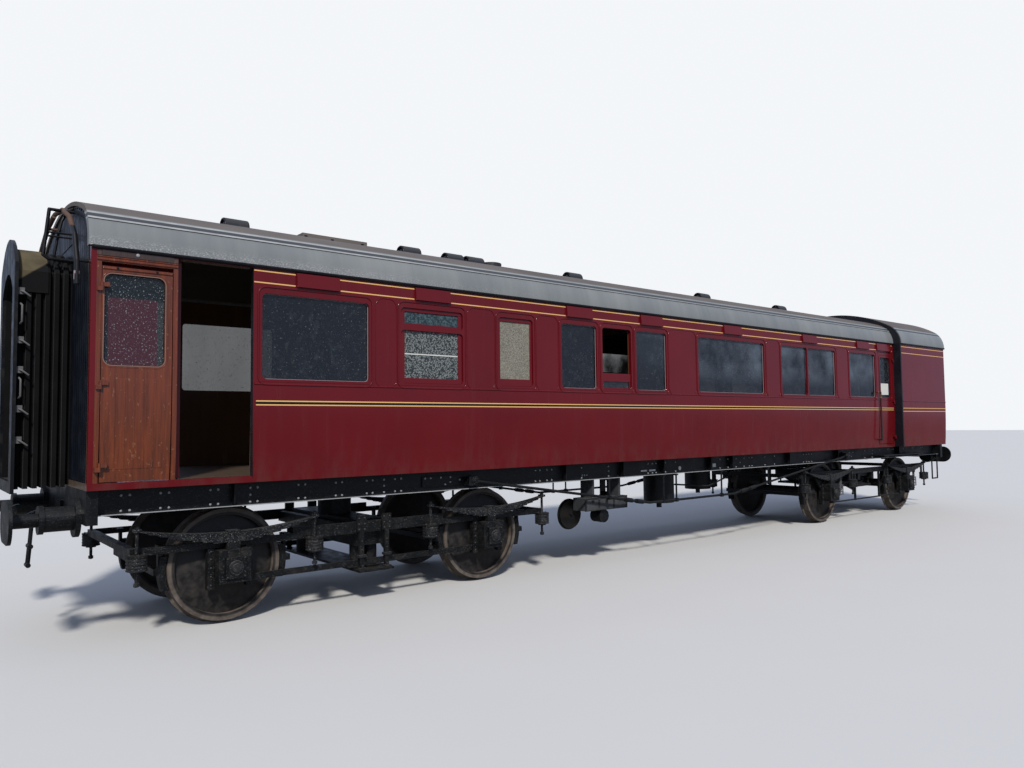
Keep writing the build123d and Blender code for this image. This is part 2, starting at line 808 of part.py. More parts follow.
members = [cross_bearer(placed(offset)) for offset, placed in bearers]
for y in (-long_y, long_y):
    members.append(block(frame_x0 + headstock_thick, frame_x1 - headstock_thick, y - long_width / 2,
                         y + long_width / 2,
                         up(cross_head) + seat_gap, up(side_foot)))
for station in bogie_stations.values():
    x = at(station)
    bolster = cross_bearer(x - bolster_span) + cross_bearer(x + bolster_span)
    bolster = bolster + block(x - bolster_span, x + bolster_span, -long_y, long_y, up(member_foot),
                              up(member_foot + 40))
    bolster = bolster + tube((x, 0, up(pivot_height + pivot_gap)), (x, 0, up(member_foot + 10)),
                             pivot_radius)
    members.append(bolster)
write("underframe_members", members)

# Truss rods with their posts: offset from the middle of the frame, height of the rod
truss_y = solebar_face + 20
truss_points = [(-4291, 1200), (-1251, 735), (709, 735), (4199, 1200)]
truss_radius = 17
truss_posts = [-2051, -951, -671, 399, 1659]
foot_half = 30
collar_half = 22
buckle_shares = (0.86, 0.93)
anchor_reach = 620


def rod_height(offset):
    for (x0, z0), (x1, z1) in zip(truss_points, truss_points[1:]):
        if x0 <= offset <= x1:
            return z0 + (z1 - z0) * (offset - x0) / (x1 - x0)


truss_route = [(spread(offset), truss_y, up(height)) for offset, height in truss_points]
truss = bent_rod(truss_route, truss_radius)
for offset in truss_posts:
    x, z = spread(offset), up(rod_height(offset))
    truss = truss + rod((x, truss_y, z), (x, truss_y, up(solebar_foot) - 10), 13)
    truss = truss + block(x - foot_half, x + foot_half, solebar_face - 40, truss_y + 16,
                          up(solebar_foot) - 22,
                          up(solebar_foot) - seat_gap)
    truss = truss + block(x - collar_half, x + collar_half, truss_y - 22, truss_y + 22, z - 26, z + 26)
for end, bend, outward in ((truss_route[0], truss_route[1], -1), (truss_route[3], truss_route[2], 1)):
    start, run = Vector(*end), Vector(*bend) - Vector(*end)
    for share in buckle_shares:
        truss = truss + rod(tuple(start + run * (share - 0.02)), tuple(start + run * (share + 0.02)),
                            truss_radius * 1.8)
    x, y, z = end
    truss = truss + block(x - 60, x + 60, web_face + seat_gap, truss_y + 26, z - 50, z + 50)
    truss = truss + block(x, x + outward * anchor_reach, web_face + seat_gap, web_face + 18, z - 40, z + 70)
write("truss_rods", both_sides([truss]))

# Underfloor gear: battery boxes, dynamo, vacuum cylinders
battery_x = between(-1991)
battery_half = 390
battery_foot = 690
battery_head = 855
battery_in = 820
battery_out = 1060
battery = block(battery_x - battery_half, battery_x + battery_half, battery_in, battery_out,
                up(battery_foot), up(battery_head))
for x in (battery_x - 250, battery_x + 250):
    battery = battery + block(x - 20, x + 20, battery_in + 20, member_inner - seat_gap,
                              up(battery_head) - 5, up(member_foot + 30))
write("battery_boxes", [other_side(battery)])
dynamo_z = up(battery_foot - 90)
dynamo = tube((battery_x, -battery_in - 10, dynamo_z), (battery_x, 50 - battery_out, dynamo_z), 88)
dynamo = dynamo + block(battery_x - 30, battery_x + 30, 100 - battery_out, -battery_in - 20, dynamo_z + 60,
                        up(battery_foot) - seat_gap)
write("dynamo", [dynamo])
drum_radius = 230
drum_foot = 640
drum_head = 1060
drum_bar_half = 340
cylinders = []
for offset, y in ((-341, -560), (2059, 560)):
    x = between(offset)
    drum = tube((x, y, up(drum_foot)), (x, y, up(drum_head)), drum_radius)
    drum = drum + tube((x, y, up(drum_head) - 5), (x, y, up(drum_head + 30)), drum_radius - 40)
    drum = drum + rod((x, y, up(drum_foot - 80)), (x, y, up(drum_foot) + 5), 40)
    reach = between(drum_bar_half)
    drum = drum + block(x - reach, x + reach, y - 30, y + 30, up(drum_head + 20),
                        up(member_foot) - seat_gap)
    cylinders.append(drum)
write("vacuum_cylinders", cylinders)

# Buffers: oval heads on round rams and stepped cases
head_wide = 600
head_tall = 340
head_thick = 28
case_length = 300
buffers = []
for end_x, out in ((frame_x0, -1), (frame_x1, 1)):
    for y in (-buffer_centre, buffer_centre):
        z = up(buffer_height)
        case = rod((end_x, y, z), (end_x + out * 40, y, z), 165, 24)
        case = case + rod((end_x + out * 40, y, z), (end_x + out * case_length, y, z), 105, 24)
        case = case + rod((end_x + out * (case_length - 40), y, z), (end_x + out * case_length, y, z), 120,
                          24)
        ram = rod((end_x + out * case_length, y, z), (end_x + out * (buffer_reach - head_thick), y, z), 58,
                  24)
        face = Plane(origin=(end_x + out * (buffer_reach - head_thick), y, z), x_dir=(0, 1, 0),
                     z_dir=(out, 0, 0))
        head = extrude(face * RectangleRounded(head_wide, head_tall, head_tall / 2 - 2), amount=head_thick)
        buffers.append(case + ram + head)
write("buffers", buffers)

# Drawhooks with screw couplings hanging from them
hook_thick = 46
drawgear = []
for end_x, out in ((frame_x0, -1), (frame_x1, 1)):
    z = up(buffer_height - 15)
    steps = [
        ("line", 150, -45),
        ("line", 330, -70),
        ("arc", 420, 10, 330, 90),
        ("line", 300, 60),
        ("arc", 345, 5, 285, -10),
        ("line", 150, 45),
        ("line", 0, 45),
        ("line", 0, -45),
    ]
    placed = [(step[0],) + tuple(v * out + end_x if i % 2 == 0 else v + z for i,
                                 v in enumerate(step[1:])) for step in steps]
    hook = along((end_x, z - 45), placed, -hook_thick / 2, hook_thick / 2)
    hook = hook + block(end_x, end_x + out * 25, -130, 130, z - 110, z + 110)
    hook = hook - tube((end_x + out * 225, -60, z - 3), (end_x + out * 225, 60, z - 3), 15 + seat_gap)
    drawgear.append(hook)
    shackle = tube((end_x + out * 225, -62, z - 3), (end_x + out * 225, 62, z - 3), 15)
    for y in (-42, 42):
        leg = rod((end_x + out * 225, y, z - 3), (end_x + out * 245, y, z - 300), 12.5)
        shackle = shackle + leg
    shackle = shackle + rod((end_x + out * 245, -62, z - 300), (end_x + out * 245, 62, z - 300), 24)
    shackle = shackle + rod((end_x + out * 245, 0, z - 300), (end_x + out * 258, 0, z - 470), 20)
    shackle = shackle + rod((end_x + out * 258, -55, z - 470), (end_x + out * 258, 55, z - 470), 22)
    drawgear.append(shackle)
write("drawgear", drawgear)

# Step irons under the lookout end and a footboard over its bogie
step_y = solebar_face - 20
step_height = 600
step_top = up(solebar_foot) - seat_gap
x0, x1 = at(frame_stop - 366), at(frame_stop - 116)
stirrup = bent_rod([(x0, step_y, step_top), (x0, step_y, up(step_height)), (x1, step_y, up(step_height)),
                    (x1, step_y, step_top)], 14)
board_start = bogie_b_station - 6
board_length = 1710
board_foot = 1150
board_thick = 25
board_brackets = (130, 855, 1580)
board = block(at(board_start), at(board_start + board_length), solebar_face + seat_gap, solebar_face + 120,
              up(board_foot), up(board_foot + board_thick))
for offset in board_brackets:
    x = at(board_start + offset)
    board = board + block(x - 25, x + 25, web_face + seat_gap, solebar_face + 100, up(board_foot) - 22,
                          up(board_foot) + 2)
write("steps", both_sides([stirrup, board]))

# Measuring wheel on its arm, raised clear of the rail on the -Y side
gauge_y = -rail_line
gauge_half = 20
gauge_tread = 28
arm_x = between(gauge_arm_offset)
wheel_x = arm_x - gauge_arm_reach
wheel_z = up(gauge_wheel_height)
arm_z = up(gauge_arm_height)
shaft_radius = 20
bore_play = 0.05
arm_out = 50
gauge_wheel = tube((wheel_x, gauge_y - gauge_half, wheel_z), (wheel_x, gauge_y + gauge_half, wheel_z),
                   gauge_wheel_radius)
gauge_wheel = gauge_wheel + tube((wheel_x, gauge_y - gauge_half + gauge_tread, wheel_z),
                                 (wheel_x, gauge_y + gauge_half, wheel_z),
                                 gauge_wheel_radius + gauge_wheel_flange)
gauge_wheel = gauge_wheel - tube((wheel_x, gauge_y - 30, wheel_z), (wheel_x, gauge_y + 30, wheel_z),
                                 shaft_radius + bore_play)
write("measuring_wheel", [gauge_wheel])
arm = rod((arm_x, gauge_y + arm_out, arm_z), (wheel_x, gauge_y + arm_out, wheel_z), 26)
arm = arm + tube((wheel_x, gauge_y + arm_out + 20, wheel_z), (wheel_x, gauge_y - gauge_half - 25, wheel_z),
                 shaft_radius)
arm = arm + tube((arm_x, gauge_y - 20, arm_z), (arm_x, gauge_y + 90, arm_z), 30)
cheeks = []
for y in (gauge_y - 44, gauge_y + 96):
    cheeks.append(block(arm_x - 50, arm_x + 50, y, y + 18, arm_z - 45, up(member_foot) - seat_gap))
bearer_x = between(gauge_bearer_offset)
plate_x0 = min(bearer_x - cross_half, arm_x - 50)
plate_x1 = max(bearer_x + cross_half, arm_x + 50)
hanger = cheeks[0] + cheeks[1] + block(plate_x0, plate_x1, gauge_y - 44, gauge_y + 114,
                                       up(member_foot) - 20, up(member_foot) - seat_gap)
hanger = hanger + tube((arm_x, gauge_y - 40, arm_z), (arm_x, gauge_y + 110, arm_z), 12)
arm_hole = tube((arm_x, gauge_y - 60, arm_z), (arm_x, gauge_y + 120, arm_z), 12.06)
write("measuring_arm", [arm - arm_hole])
write("measuring_bracket", [hanger])


# Bogies. Local x runs from the bogie centre, y outwards, height from the rail.
axle_x = wheelbase / 2
horn_half = 150
horn_leg = 62
horn_proud = 20
horn_foot = 330
seat_foot = 710
beam_head = 830
beam_half = 900
post_x = 150
tie_foot = 370
tie_head = 430
plank_foot = 304
plank_head = 330
plank_half = 1018
brake_bracket = 740
unit_offsets = (-spring_half, spring_half)
hanger_radius = 15
unit_radius = 85
unit_foot = 592
unit_seat = 90
seat_thick = 18
frame_in = side_frame_y - side_frame_plate / 2
frame_out = side_frame_y + side_frame_plate / 2
transom_x = 270
transom_half = 40
brace_top = (1416, 850)
brace_foot = (480, 530)
brace_half = 30
brace_thick = 14
truss_post_x = 476
truss_post_half = 20
gusset_long = 200
gusset_deep = 230

# Heights by bogie: foot and head of the side bar, foot and head of the transoms
frame_levels = {"a": (710, 775, 690, 810), "b": (830, 925, 700, 860)}


def seat_bracket(kind, seat):
    # Carries a spring hanger; on bogie b it hangs from the higher side bar by a plate.
    bar_head = frame_levels[kind][1]
    z0, z1 = up(seat_foot), up(seat_foot + seat_thick)
    near = frame_out + seat_gap
    bracket = block(seat - unit_seat, seat + unit_seat, near, spring_line, z0, z1)
    bracket = bracket + rod((seat, spring_line, z0), (seat, spring_line, z1), unit_seat, 16)
    if kind == "b":
        bracket = bracket + block(seat - 40, seat + 40, near, near + 10, z0, up(bar_head - 20))
    return bracket - rod((seat, spring_line, z0 - 5), (seat, spring_line, z1 + 5), hanger_radius + 2)


def side_of_a(inner_leg):
    # A thick middle on the bar, a tie between the legs, and two bolted posts down to the plank.
    solids = [block(seat_gap - inner_leg, inner_leg - seat_gap, frame_in, frame_out, up(tie_foot),
                    up(tie_head))]
    near, far = frame_out + seat_gap, frame_out + 34
    for x in (-post_x, post_x):
        post = block(x - 55, x + 55, near, far, up(seat_foot + 10), up(beam_head + 65))
        solids.append(post + block(x - 26, x + 26, near, far, up(plank_head) + seat_gap,
                                   up(seat_foot + 20)))
    return solids


def side_of_b(inner_leg, bar_foot):
    # Gussets beside the horns, two posts on a slim tie, and a brace from each post up to the bar.
    head = up(bar_foot) - seat_gap
    tie_z = up(horn_foot + 10)
    posts = rod((seat_gap - inner_leg, side_frame_y, tie_z), (inner_leg - seat_gap, side_frame_y, tie_z),
                14)
    solids = []
    for side_sign in (-1, 1):
        x = side_sign * truss_post_x
        posts = posts + block(x - truss_post_half, x + truss_post_half, frame_in, frame_out,
                              up(horn_foot - 5), head)
        corners = [(brace_foot, -brace_half), (brace_foot, brace_half), (brace_top, brace_half),
                   (brace_top, -brace_half)]
        steps = [("line", side_sign * bx, up(bz + lift)) for (bx, bz), lift in corners]
        solids.append(along(steps[-1][1:], steps, frame_in - seat_gap - brace_thick, frame_in - seat_gap))
        for edge in (-1, 1):
            x0 = side_sign * axle_x + edge * (horn_half + horn_leg + seat_gap)
            steps = [("line", x0 + edge * gusset_long, head), ("line", x0, head - gusset_deep),
                     ("line", x0, head)]
            solids.append(along((x0, head), steps, frame_in, frame_out))
    return solids + [posts]


def bogie_frame(kind):
    bar_foot, bar_head, transom_foot, transom_head = frame_levels[kind]
    bar = block(-frame_end, frame_end, frame_in, frame_out, up(bar_foot), up(bar_head))
    if kind == "a":
        bar = bar + block(-beam_half, beam_half, frame_in, frame_out, up(bar_foot), up(beam_head))
    else:
        bar = bar + block(-frame_end, frame_end, frame_in, frame_out + 10, up(bar_head - 12), up(bar_head))
    side = [bar]
    for x in (-axle_x, axle_x):
        for edge in (-1, 1):
            near, far = x + edge * horn_half, x + edge * (horn_half + horn_leg)
            leg = block(near, far, frame_in - horn_proud, frame_out + horn_proud, up(horn_foot),
                        up(seat_foot) - seat_gap)
            side.append(leg + block(near, far, frame_in, frame_out, up(horn_foot), up(bar_foot) - seat_gap))
        for offset in unit_offsets:
            side.append(seat_bracket(kind, x + offset))
    inner_leg = axle_x - horn_half - horn_leg
    side += side_of_a(inner_leg) if kind == "a" else side_of_b(inner_leg, bar_foot)
    for x, face in brake_spots:
        hanger_x = brake_hanger_x(x, face)
        side.append(block(hanger_x - 30, hanger_x + 30, wheel_back + 55, frame_in - seat_gap,
                          up(brake_bracket), up(bar_foot + 35 if kind == "b" else brake_bracket + 35)))
    bars = []
    bar_half = frame_in - seat_gap
    for x in (-transom_x, transom_x):
        bars.append(block(x - transom_half, x + transom_half, -bar_half, bar_half, up(transom_foot),
                          up(transom_head)))
    for x in (-frame_end + 30, frame_end - 30):
        bars.append(block(x - 30, x + 30, -bar_half, bar_half, up(bar_foot), up(bar_foot + 65)))
    return both_sides(side) + bars


bolster_half = 165
bolster_foot = 560
bolster_head = 840
bolster_reach = 840
bolster_spring_y = 700
coil_radius = 72
bow_half = 220
bow_foot = 604
bow_head = 756
bow_leaf = 30
swing_plank_head = 600
swing_half = 310
link_y = 800


def lens(half, z0, z1, y):
    # A solid with an arc above and an arc below, meeting in a point at each end.
    middle = (z0 + z1) / 2
    return along((half, middle), [("arc", 0, z1, -half, middle), ("arc", 0, z0, half, middle)], y - 50,
                 y + 50)


def bogie_bolster(kind):
    foot = bolster_foot if kind == "a" else bow_head + 4
    beam = block(-bolster_half, bolster_half, -bolster_reach, bolster_reach, up(foot), up(bolster_head))
    beam = beam + tube((0, 0, up(bolster_head - 5)), (0, 0, up(pivot_height)), pivot_radius)
    if kind == "a":
        solids = [beam, block(-205, 205, -plank_half, plank_half, up(plank_foot), up(plank_head))]
        for y in (-bolster_spring_y, bolster_spring_y):
            for x in (-85, 85):
                solids.append(rod((x, y, up(plank_head) + seat_gap), (x, y, up(bolster_foot) - seat_gap),
                                  coil_radius, 16))
        return solids
    plank = block(-swing_half, swing_half, -bolster_reach, bolster_reach, up(bolster_foot),
                  up(swing_plank_head))
    solids = [beam]
    for side_sign in (-1, 1):
        y = side_sign * bolster_spring_y
        bow = lens(bow_half, up(bow_foot), up(bow_head), y)
        hollow = lens(bow_half * 0.8, up(bow_foot + bow_leaf), up(bow_head - bow_leaf), y)
        solids.append(bow - hollow + block(-60, 60, y - 50, y + 50, up(swing_plank_head) + seat_gap,
                                           up(bow_foot + bow_leaf))
                      + block(-60, 60, y - 50, y + 50, up(bow_head - bow_leaf), up(foot) - seat_gap))
        for x in (-transom_x, transom_x):
            plank = plank + rod((x, side_sign * link_y, up(swing_plank_head) - 5),
                                (x, side_sign * link_y, up(frame_levels[kind][2]) - seat_gap), 16)
    return solids + [plank]


leaf_count = 8
spring_leaf = 12
leaf_width = 90
eye_rise = 82
spring_top = 858
buckle_half = 60
buckle_wide = 55
buckle_foot = spring_top - leaf_count * spring_leaf - 6


def leaf_pack():
    # All leaves of a spring in one outline: the curve of the top leaf, and steps where the shorter ones end.
    def level(x):
        return up(spring_top) + eye_rise * (x / spring_half) ** 2

    steps = [("arc", 0, level(0), -spring_half, level(spring_half))]
    ends = []
    for index in range(leaf_count):
        end = spring_half * (1 - index / (leaf_count + 1))
        ends.append((end, level(end) - index * spring_leaf))
    for end, z in ends:
        steps += [("line", -end, z), ("line", -end, z - spring_leaf)]
    for end, z in reversed(ends):
        steps += [("line", end, z - spring_leaf), ("line", end, z)]
    return along((spring_half, level(spring_half)), steps, spring_line - leaf_width / 2,
                 spring_line + leaf_width / 2)


def bogie_springs():
    pack = leaf_pack() + block(-buckle_half, buckle_half, spring_line - buckle_wide,
                               spring_line + buckle_wide,
                               up(buckle_foot), up(spring_top + 16))
    for offset in unit_offsets:
        eye_z = up(spring_top + eye_rise)
        pack = pack + rod((offset, spring_line, eye_z + 22), (offset, spring_line, up(450)), hanger_radius)
        pack = pack + block(offset - 30, offset + 30, spring_line - 36, spring_line + 36, eye_z - 12,
                            eye_z + 14)
        pack = pack + rod((offset, spring_line, up(unit_foot)),
                          (offset, spring_line, up(seat_foot) - seat_gap), unit_radius, 16)
        pack = pack + rod((offset, spring_line, up(unit_foot - 16)),
                          (offset, spring_line, up(unit_foot + 2)), 50, 16)
    return both_sides([Pos(x, 0, 0) * pack for x in (-axle_x, axle_x)])


box_in = 890
box_out = 1080
box_cover = 30


def bogie_axleboxes():
    z = up(wheel_radius)
    box = block(-horn_half + 1, horn_half - 1, box_in, box_out, z - 140, z + 165)
    box = box + block(-buckle_half, buckle_half, spring_line - buckle_wide, spring_line + buckle_wide,
                      z + 160,
                      up(buckle_foot) - seat_gap)
    box = box + block(-95, 95, box_out - 5, box_out + box_cover, z - 95, z + 100)
    box = box - tube((0, 800, z), (0, journal_end + 6, z), journal_radius + 0.08)
    return both_sides([Pos(x, 0, 0) * box for x in (-axle_x, axle_x)])


# Wheel section on one side of a wheelset: distance from the middle of the axle, radius
wheel_face = wheel_back + wheel_width
hub_radius = 150
rim_deep = 66
wheel_section = [
    (wheel_back - 15, axle_radius),
    (wheel_back - 15, hub_radius),
    (wheel_back + 50, wheel_radius - rim_deep),
    (wheel_back, wheel_radius - rim_deep),
    (wheel_back, wheel_radius + flange_depth - 6),
    (wheel_back + 9, wheel_radius + flange_depth),
    (wheel_back + 22, wheel_radius + flange_depth),
    (wheel_back + 34, wheel_radius + 2),
    (wheel_face, wheel_radius - 3),
    (wheel_face, wheel_radius - rim_deep),
    (wheel_back + 86, wheel_radius - rim_deep),
    (wheel_face + 12, hub_radius),
    (wheel_face + 12, journal_radius),
    (journal_end, journal_radius),
    (journal_end, 0),
]


def wheelset(x):
    # The axle with both wheels, turned as one.
    plane = Plane(origin=(x, 0, up(wheel_radius)), x_dir=(0, 1, 0), z_dir=(-1, 0, 0))
    right = [("line", y, radius) for y, radius in wheel_section]
    left = [("line", -y, radius) for y, radius in reversed(wheel_section)]
    face = outline(plane, (-journal_end, 0), left + right + [("line", -journal_end, 0)])
    return [revolve(face, axis=Axis((x, 0, up(wheel_radius)), (0, 1, 0)), revolution_arc=360)]


shoe_y = wheel_back + 40
shoe_width = 86
shoe_thick = 62
shoe_reach = wheel_radius + block_gap + shoe_thick
brake_spots = [(x, face) for x in (-axle_x, axle_x) for face in (-1, 1)]


def brake_hanger_x(x, face):
    return x + face * (wheel_radius + block_gap + 50)


def bogie_brakes():
    # Four beams across, each with a shoe and a hanger at both ends.
    z = up(wheel_radius)
    solids = []
    for x, face in brake_spots:
        ring = tube((x, shoe_y, z), (x, shoe_y + shoe_width, z), shoe_reach)
        ring = ring - tube((x, shoe_y - 5, z), (x, shoe_y + shoe_width + 5, z), wheel_radius + block_gap)
        middle = x + face * (wheel_radius + block_gap + 30)
        shoe = ring & block(middle - 90, middle + 90, shoe_y - 5, shoe_y + shoe_width + 5, z - 190, z + 130)
        hanger_x = brake_hanger_x(x, face)
        shoe = shoe + block(hanger_x - 14, hanger_x + 14, shoe_y + 15, shoe_y + 70, z - 30,
                            up(brake_bracket) - seat_gap)
        near, far = x + face * (shoe_reach - 6), x + face * (shoe_reach + 44)
        beam = block(near, far, -shoe_y - shoe_width, shoe_y + shoe_width, z - 35, z + 25)
        solids.append(beam + shoe + other_side(shoe))
    return solids


for letter, station in bogie_stations.items():
    place = Pos(at(station), 0, 0)
    write(f"bogie_{letter}_frame", [place * s for s in bogie_frame(letter)])
    write(f"bogie_{letter}_bolster", [place * s for s in bogie_bolster(letter)])
    write(f"bogie_{letter}_springs", [place * s for s in bogie_springs()])
    write(f"bogie_{letter}_axleboxes", [place * s for s in bogie_axleboxes()])
    write(f"bogie_{letter}_brakes", [place * s for s in bogie_brakes()])
    for number, x in ((1, -axle_x), (2, axle_x)):
        write(f"bogie_{letter}_wheelset_{number}", [place * s for s in wheelset(x)])
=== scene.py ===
import math
from functools import partial

import bmesh
import bpy
from mathutils import Matrix, Vector


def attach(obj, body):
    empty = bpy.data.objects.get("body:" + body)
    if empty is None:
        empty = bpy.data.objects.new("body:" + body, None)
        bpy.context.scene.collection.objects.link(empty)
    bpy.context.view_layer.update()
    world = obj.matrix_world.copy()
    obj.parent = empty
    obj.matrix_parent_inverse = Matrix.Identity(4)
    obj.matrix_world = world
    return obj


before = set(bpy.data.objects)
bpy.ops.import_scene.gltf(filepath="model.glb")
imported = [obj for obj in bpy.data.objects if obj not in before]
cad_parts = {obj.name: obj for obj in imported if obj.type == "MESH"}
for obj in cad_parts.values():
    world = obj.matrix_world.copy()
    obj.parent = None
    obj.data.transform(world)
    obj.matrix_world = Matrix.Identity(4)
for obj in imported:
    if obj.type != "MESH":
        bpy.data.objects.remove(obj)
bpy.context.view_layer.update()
scene = bpy.context.scene

# Stations run along the coach from the gangway-end corner, heights from the rail, in metres.
# The near side is towards -Y, and side is -1 there and 1 on the far side.
FLANGE_DEPTH = 0.028
FRAME_MIDDLE = 8.241
BODY_HALF = 1.3
LOOKOUT_HALF = 1.443
WAIST = 2.243
SIDE_FOOT = 1.33
TURN_UNDER = 0.03
EAVE = 3.36
CROWN = 3.945
# Stations of the bogies' middles, and how far their axles are from them
BOGIES = {"a": 2.806, "b": 13.676}
AXLE_X = 1.524
WHEEL_RADIUS = 0.5335
INNER_FACE = 1.255
LOOKOUT_INNER_FACE = 1.398
RAIN_STRIP = (3.6, 3.67)
SOLEBAR_WEB = 1.072
SOLEBAR_FACE = 1.15
# How far an added layer reaches into its face
SUNK = 0.002

# Lights in the doors: left edge, right edge, foot, head; and where their panes stand
WOOD_DOOR_LIGHT = (0.103, 0.578, 2.37, 3.134)
END_DOOR_LIGHT = (13.572, 13.988, 2.29, 3.06)
SLIDE_DOOR_LIGHT = (0.168, 0.628, 2.37, 3.05)
LEAF_PANE_Y = 1.275
SLIDE_PANE_Y = 1.18
PANE_HALF = 0.0045
PANE_EDGE = 0.0078
# The board behind the wooden door's glass: left edge, right edge, foot, head
BACKING = (0.112, 0.522, 2.375, 2.94)


def at(station):
    return station - FRAME_MIDDLE


def up(height):
    return height + FLANGE_DEPTH


def spot(station, y, height):
    return at(station), y, up(height)


# Shader building

def node(tree, kind, **settings):
    made = tree.nodes.new("ShaderNode" + kind)
    for name, value in settings.items():
        setattr(made, name, value)
    return made


def wire(source, socket):
    # Feeds a number, a colour or another node's output into an input.
    if isinstance(source, tuple):
        socket.default_value = (*source, 1)
    elif isinstance(source, (int, float)):
        socket.default_value = source
    else:
        source.id_data.links.new(source, socket)


def feed(made, **sources):
    for name, source in sources.items():
        wire(source, made.inputs[name.replace("_", " ")])


def place(tree, scale=(1, 1, 1)):
    # The place on the coach, stretched for a grain or a streak.
    mapping = node(tree, "Mapping")
    mapping.inputs["Scale"].default_value = scale
    feed(mapping, Vector=node(tree, "TexCoord").outputs["Object"])
    return mapping.outputs["Vector"]


def noise(tree, scale, detail=4, stretch=(1, 1, 1), roughness=0.55):
    made = node(tree, "TexNoise")
    feed(made, Scale=scale, Detail=detail, Roughness=roughness, Vector=place(tree, stretch))
    return made.outputs["Fac"]


def ramp(source, low, high, floor=0.0, top=1.0):
    # Maps low..high of a value to floor..top.
    made = node(source.id_data, "MapRange", clamp=True)
    feed(made, Value=source, From_Min=low, From_Max=high, To_Min=floor, To_Max=top)
    return made.outputs["Result"]


def calc(what, first, second=0.5):
    tree = (second if isinstance(first, (int, float)) else first).id_data
    made = node(tree, "Math", operation=what)
    for value, socket in zip((first, second), made.inputs):
        wire(value, socket)
    return made.outputs["Value"]


times, plus, minus = (partial(calc, what) for what in ("MULTIPLY", "ADD", "SUBTRACT"))


def blend(share, first, second):
    # The first colour where the share is 0, the second where it is 1.
    made = node(share.id_data, "Mix", data_type="RGBA")
    feed(made, Factor=share)
    for colour, socket in zip((first, second), [s for s in made.inputs if s.type == "RGBA"]):
        wire(colour, socket)
    return [s for s in made.outputs if s.type == "RGBA"][0]


def split(tree, kind, output, axis):
    # One axis of a place or a direction.
    parts = node(tree, "SeparateXYZ")
    feed(parts, Vector=node(tree, kind).outputs[output])
    return parts.outputs[axis]


def along(tree, axis):
    return split(tree, "TexCoord", "Object", axis)


def facing(tree, axis):
    return split(tree, "NewGeometry", "Normal", axis)


def begin(name, **constants):
    material = bpy.data.materials.new(name)
    material.use_nodes = True
    tree = material.node_tree
    tree.nodes.clear()
    shader = node(tree, "BsdfPrincipled")
    feed(shader, **constants)
    feed(node(tree, "OutputMaterial"), Surface=shader.outputs["BSDF"])
    return material, tree, shader


def coat(shader, colour, rough, height, strength, distance):
    # Sets the colour, the roughness and the bumps of a finish.
    bumps = node(shader.id_data, "Bump")
    feed(bumps, Height=height, Strength=strength, Distance=distance)
    feed(shader, Base_Color=colour, Roughness=rough, Normal=bumps.outputs["Normal"])


# Finishes

def between(value, low, high):
    return times(calc("GREATER_THAN", value, low), calc("LESS_THAN", value, high))


def pane_mask(tree, pane_y, left, right, foot, head, edge=0):
    # 1 in a pane and a little round it on either side of the coach, 0 elsewhere.
    in_length = between(along(tree, "X"), at(left) - edge, at(right) + edge)
    across = calc("ABSOLUTE", along(tree, "Y"))
    mask = times(in_length, between(across, pane_y - PANE_HALF, pane_y + PANE_HALF))
    return times(mask, between(along(tree, "Z"), up(foot) - edge, up(head) + edge))


def set_pane(tree, shader, light, pane_y, glass_colour):
    # Turns what shows in a door's light into speckled glass, painted dark as painted shade of the dim inside.
    mask = pane_mask(tree, pane_y, *light, PANE_EDGE)
    speck = ramp(noise(tree, 75, 5), 0.6, 0.66)
    pane = blend(speck, glass_colour, (0.3, 0.32, 0.33))
    base = shader.inputs["Base Color"].links[0].from_socket
    rough = shader.inputs["Roughness"].links[0].from_socket
    see_through = times(minus(1, speck), 0.4)
    feed(shader, Base_Color=blend(mask, base, pane), Alpha=minus(1, times(mask, see_through)),
         Roughness=plus(times(rough, minus(1, mask)), times(mask, 0.08)))


def coach_paint(name, colour, shade, inner_face=INNER_FACE, light=None, pane_y=0):
    # Varnished coach paint: gloss, faint rain streaks, dust towards the sill, panelling on the inner face.
    material, tree, shader = begin(name, Coat_Weight=0.18, Coat_Roughness=0.06, Specular_IOR_Level=0.32)
    broad = noise(tree, 1.1, 5)
    streak = noise(tree, 9, 4, (1, 1, 0.09))
    paint = blend(ramp(broad, 0.35, 0.7), colour, shade)
    paint = blend(ramp(streak, 0.58, 0.8, 0, 0.1), paint, (0.13, 0.055, 0.05))
    low = ramp(along(tree, "Z"), up(SIDE_FOOT) - 0.02, up(SIDE_FOOT) + 0.3, 0.3, 0)
    dust = times(low, ramp(noise(tree, 7, 6, (1, 1, 0.5)), 0.42, 0.72))
    paint = blend(dust, paint, (0.11, 0.07, 0.05))
    inside = calc("LESS_THAN", calc("ABSOLUTE", along(tree, "Y")), inner_face)
    paint = blend(inside, paint, blend(streak, (0.1, 0.05, 0.025), (0.16, 0.085, 0.045)))
    ripple = plus(noise(tree, 1.6, 1, (1, 1, 0.6)), times(noise(tree, 160, 2), 0.02))
    coat(shader, paint, ramp(plus(streak, dust), 0.4, 1.2, 0.16, 0.5), ripple, 0.22, 0.02)
    if light:
        set_pane(tree, shader, light, pane_y, (0.012, 0.017, 0.022))
    return material


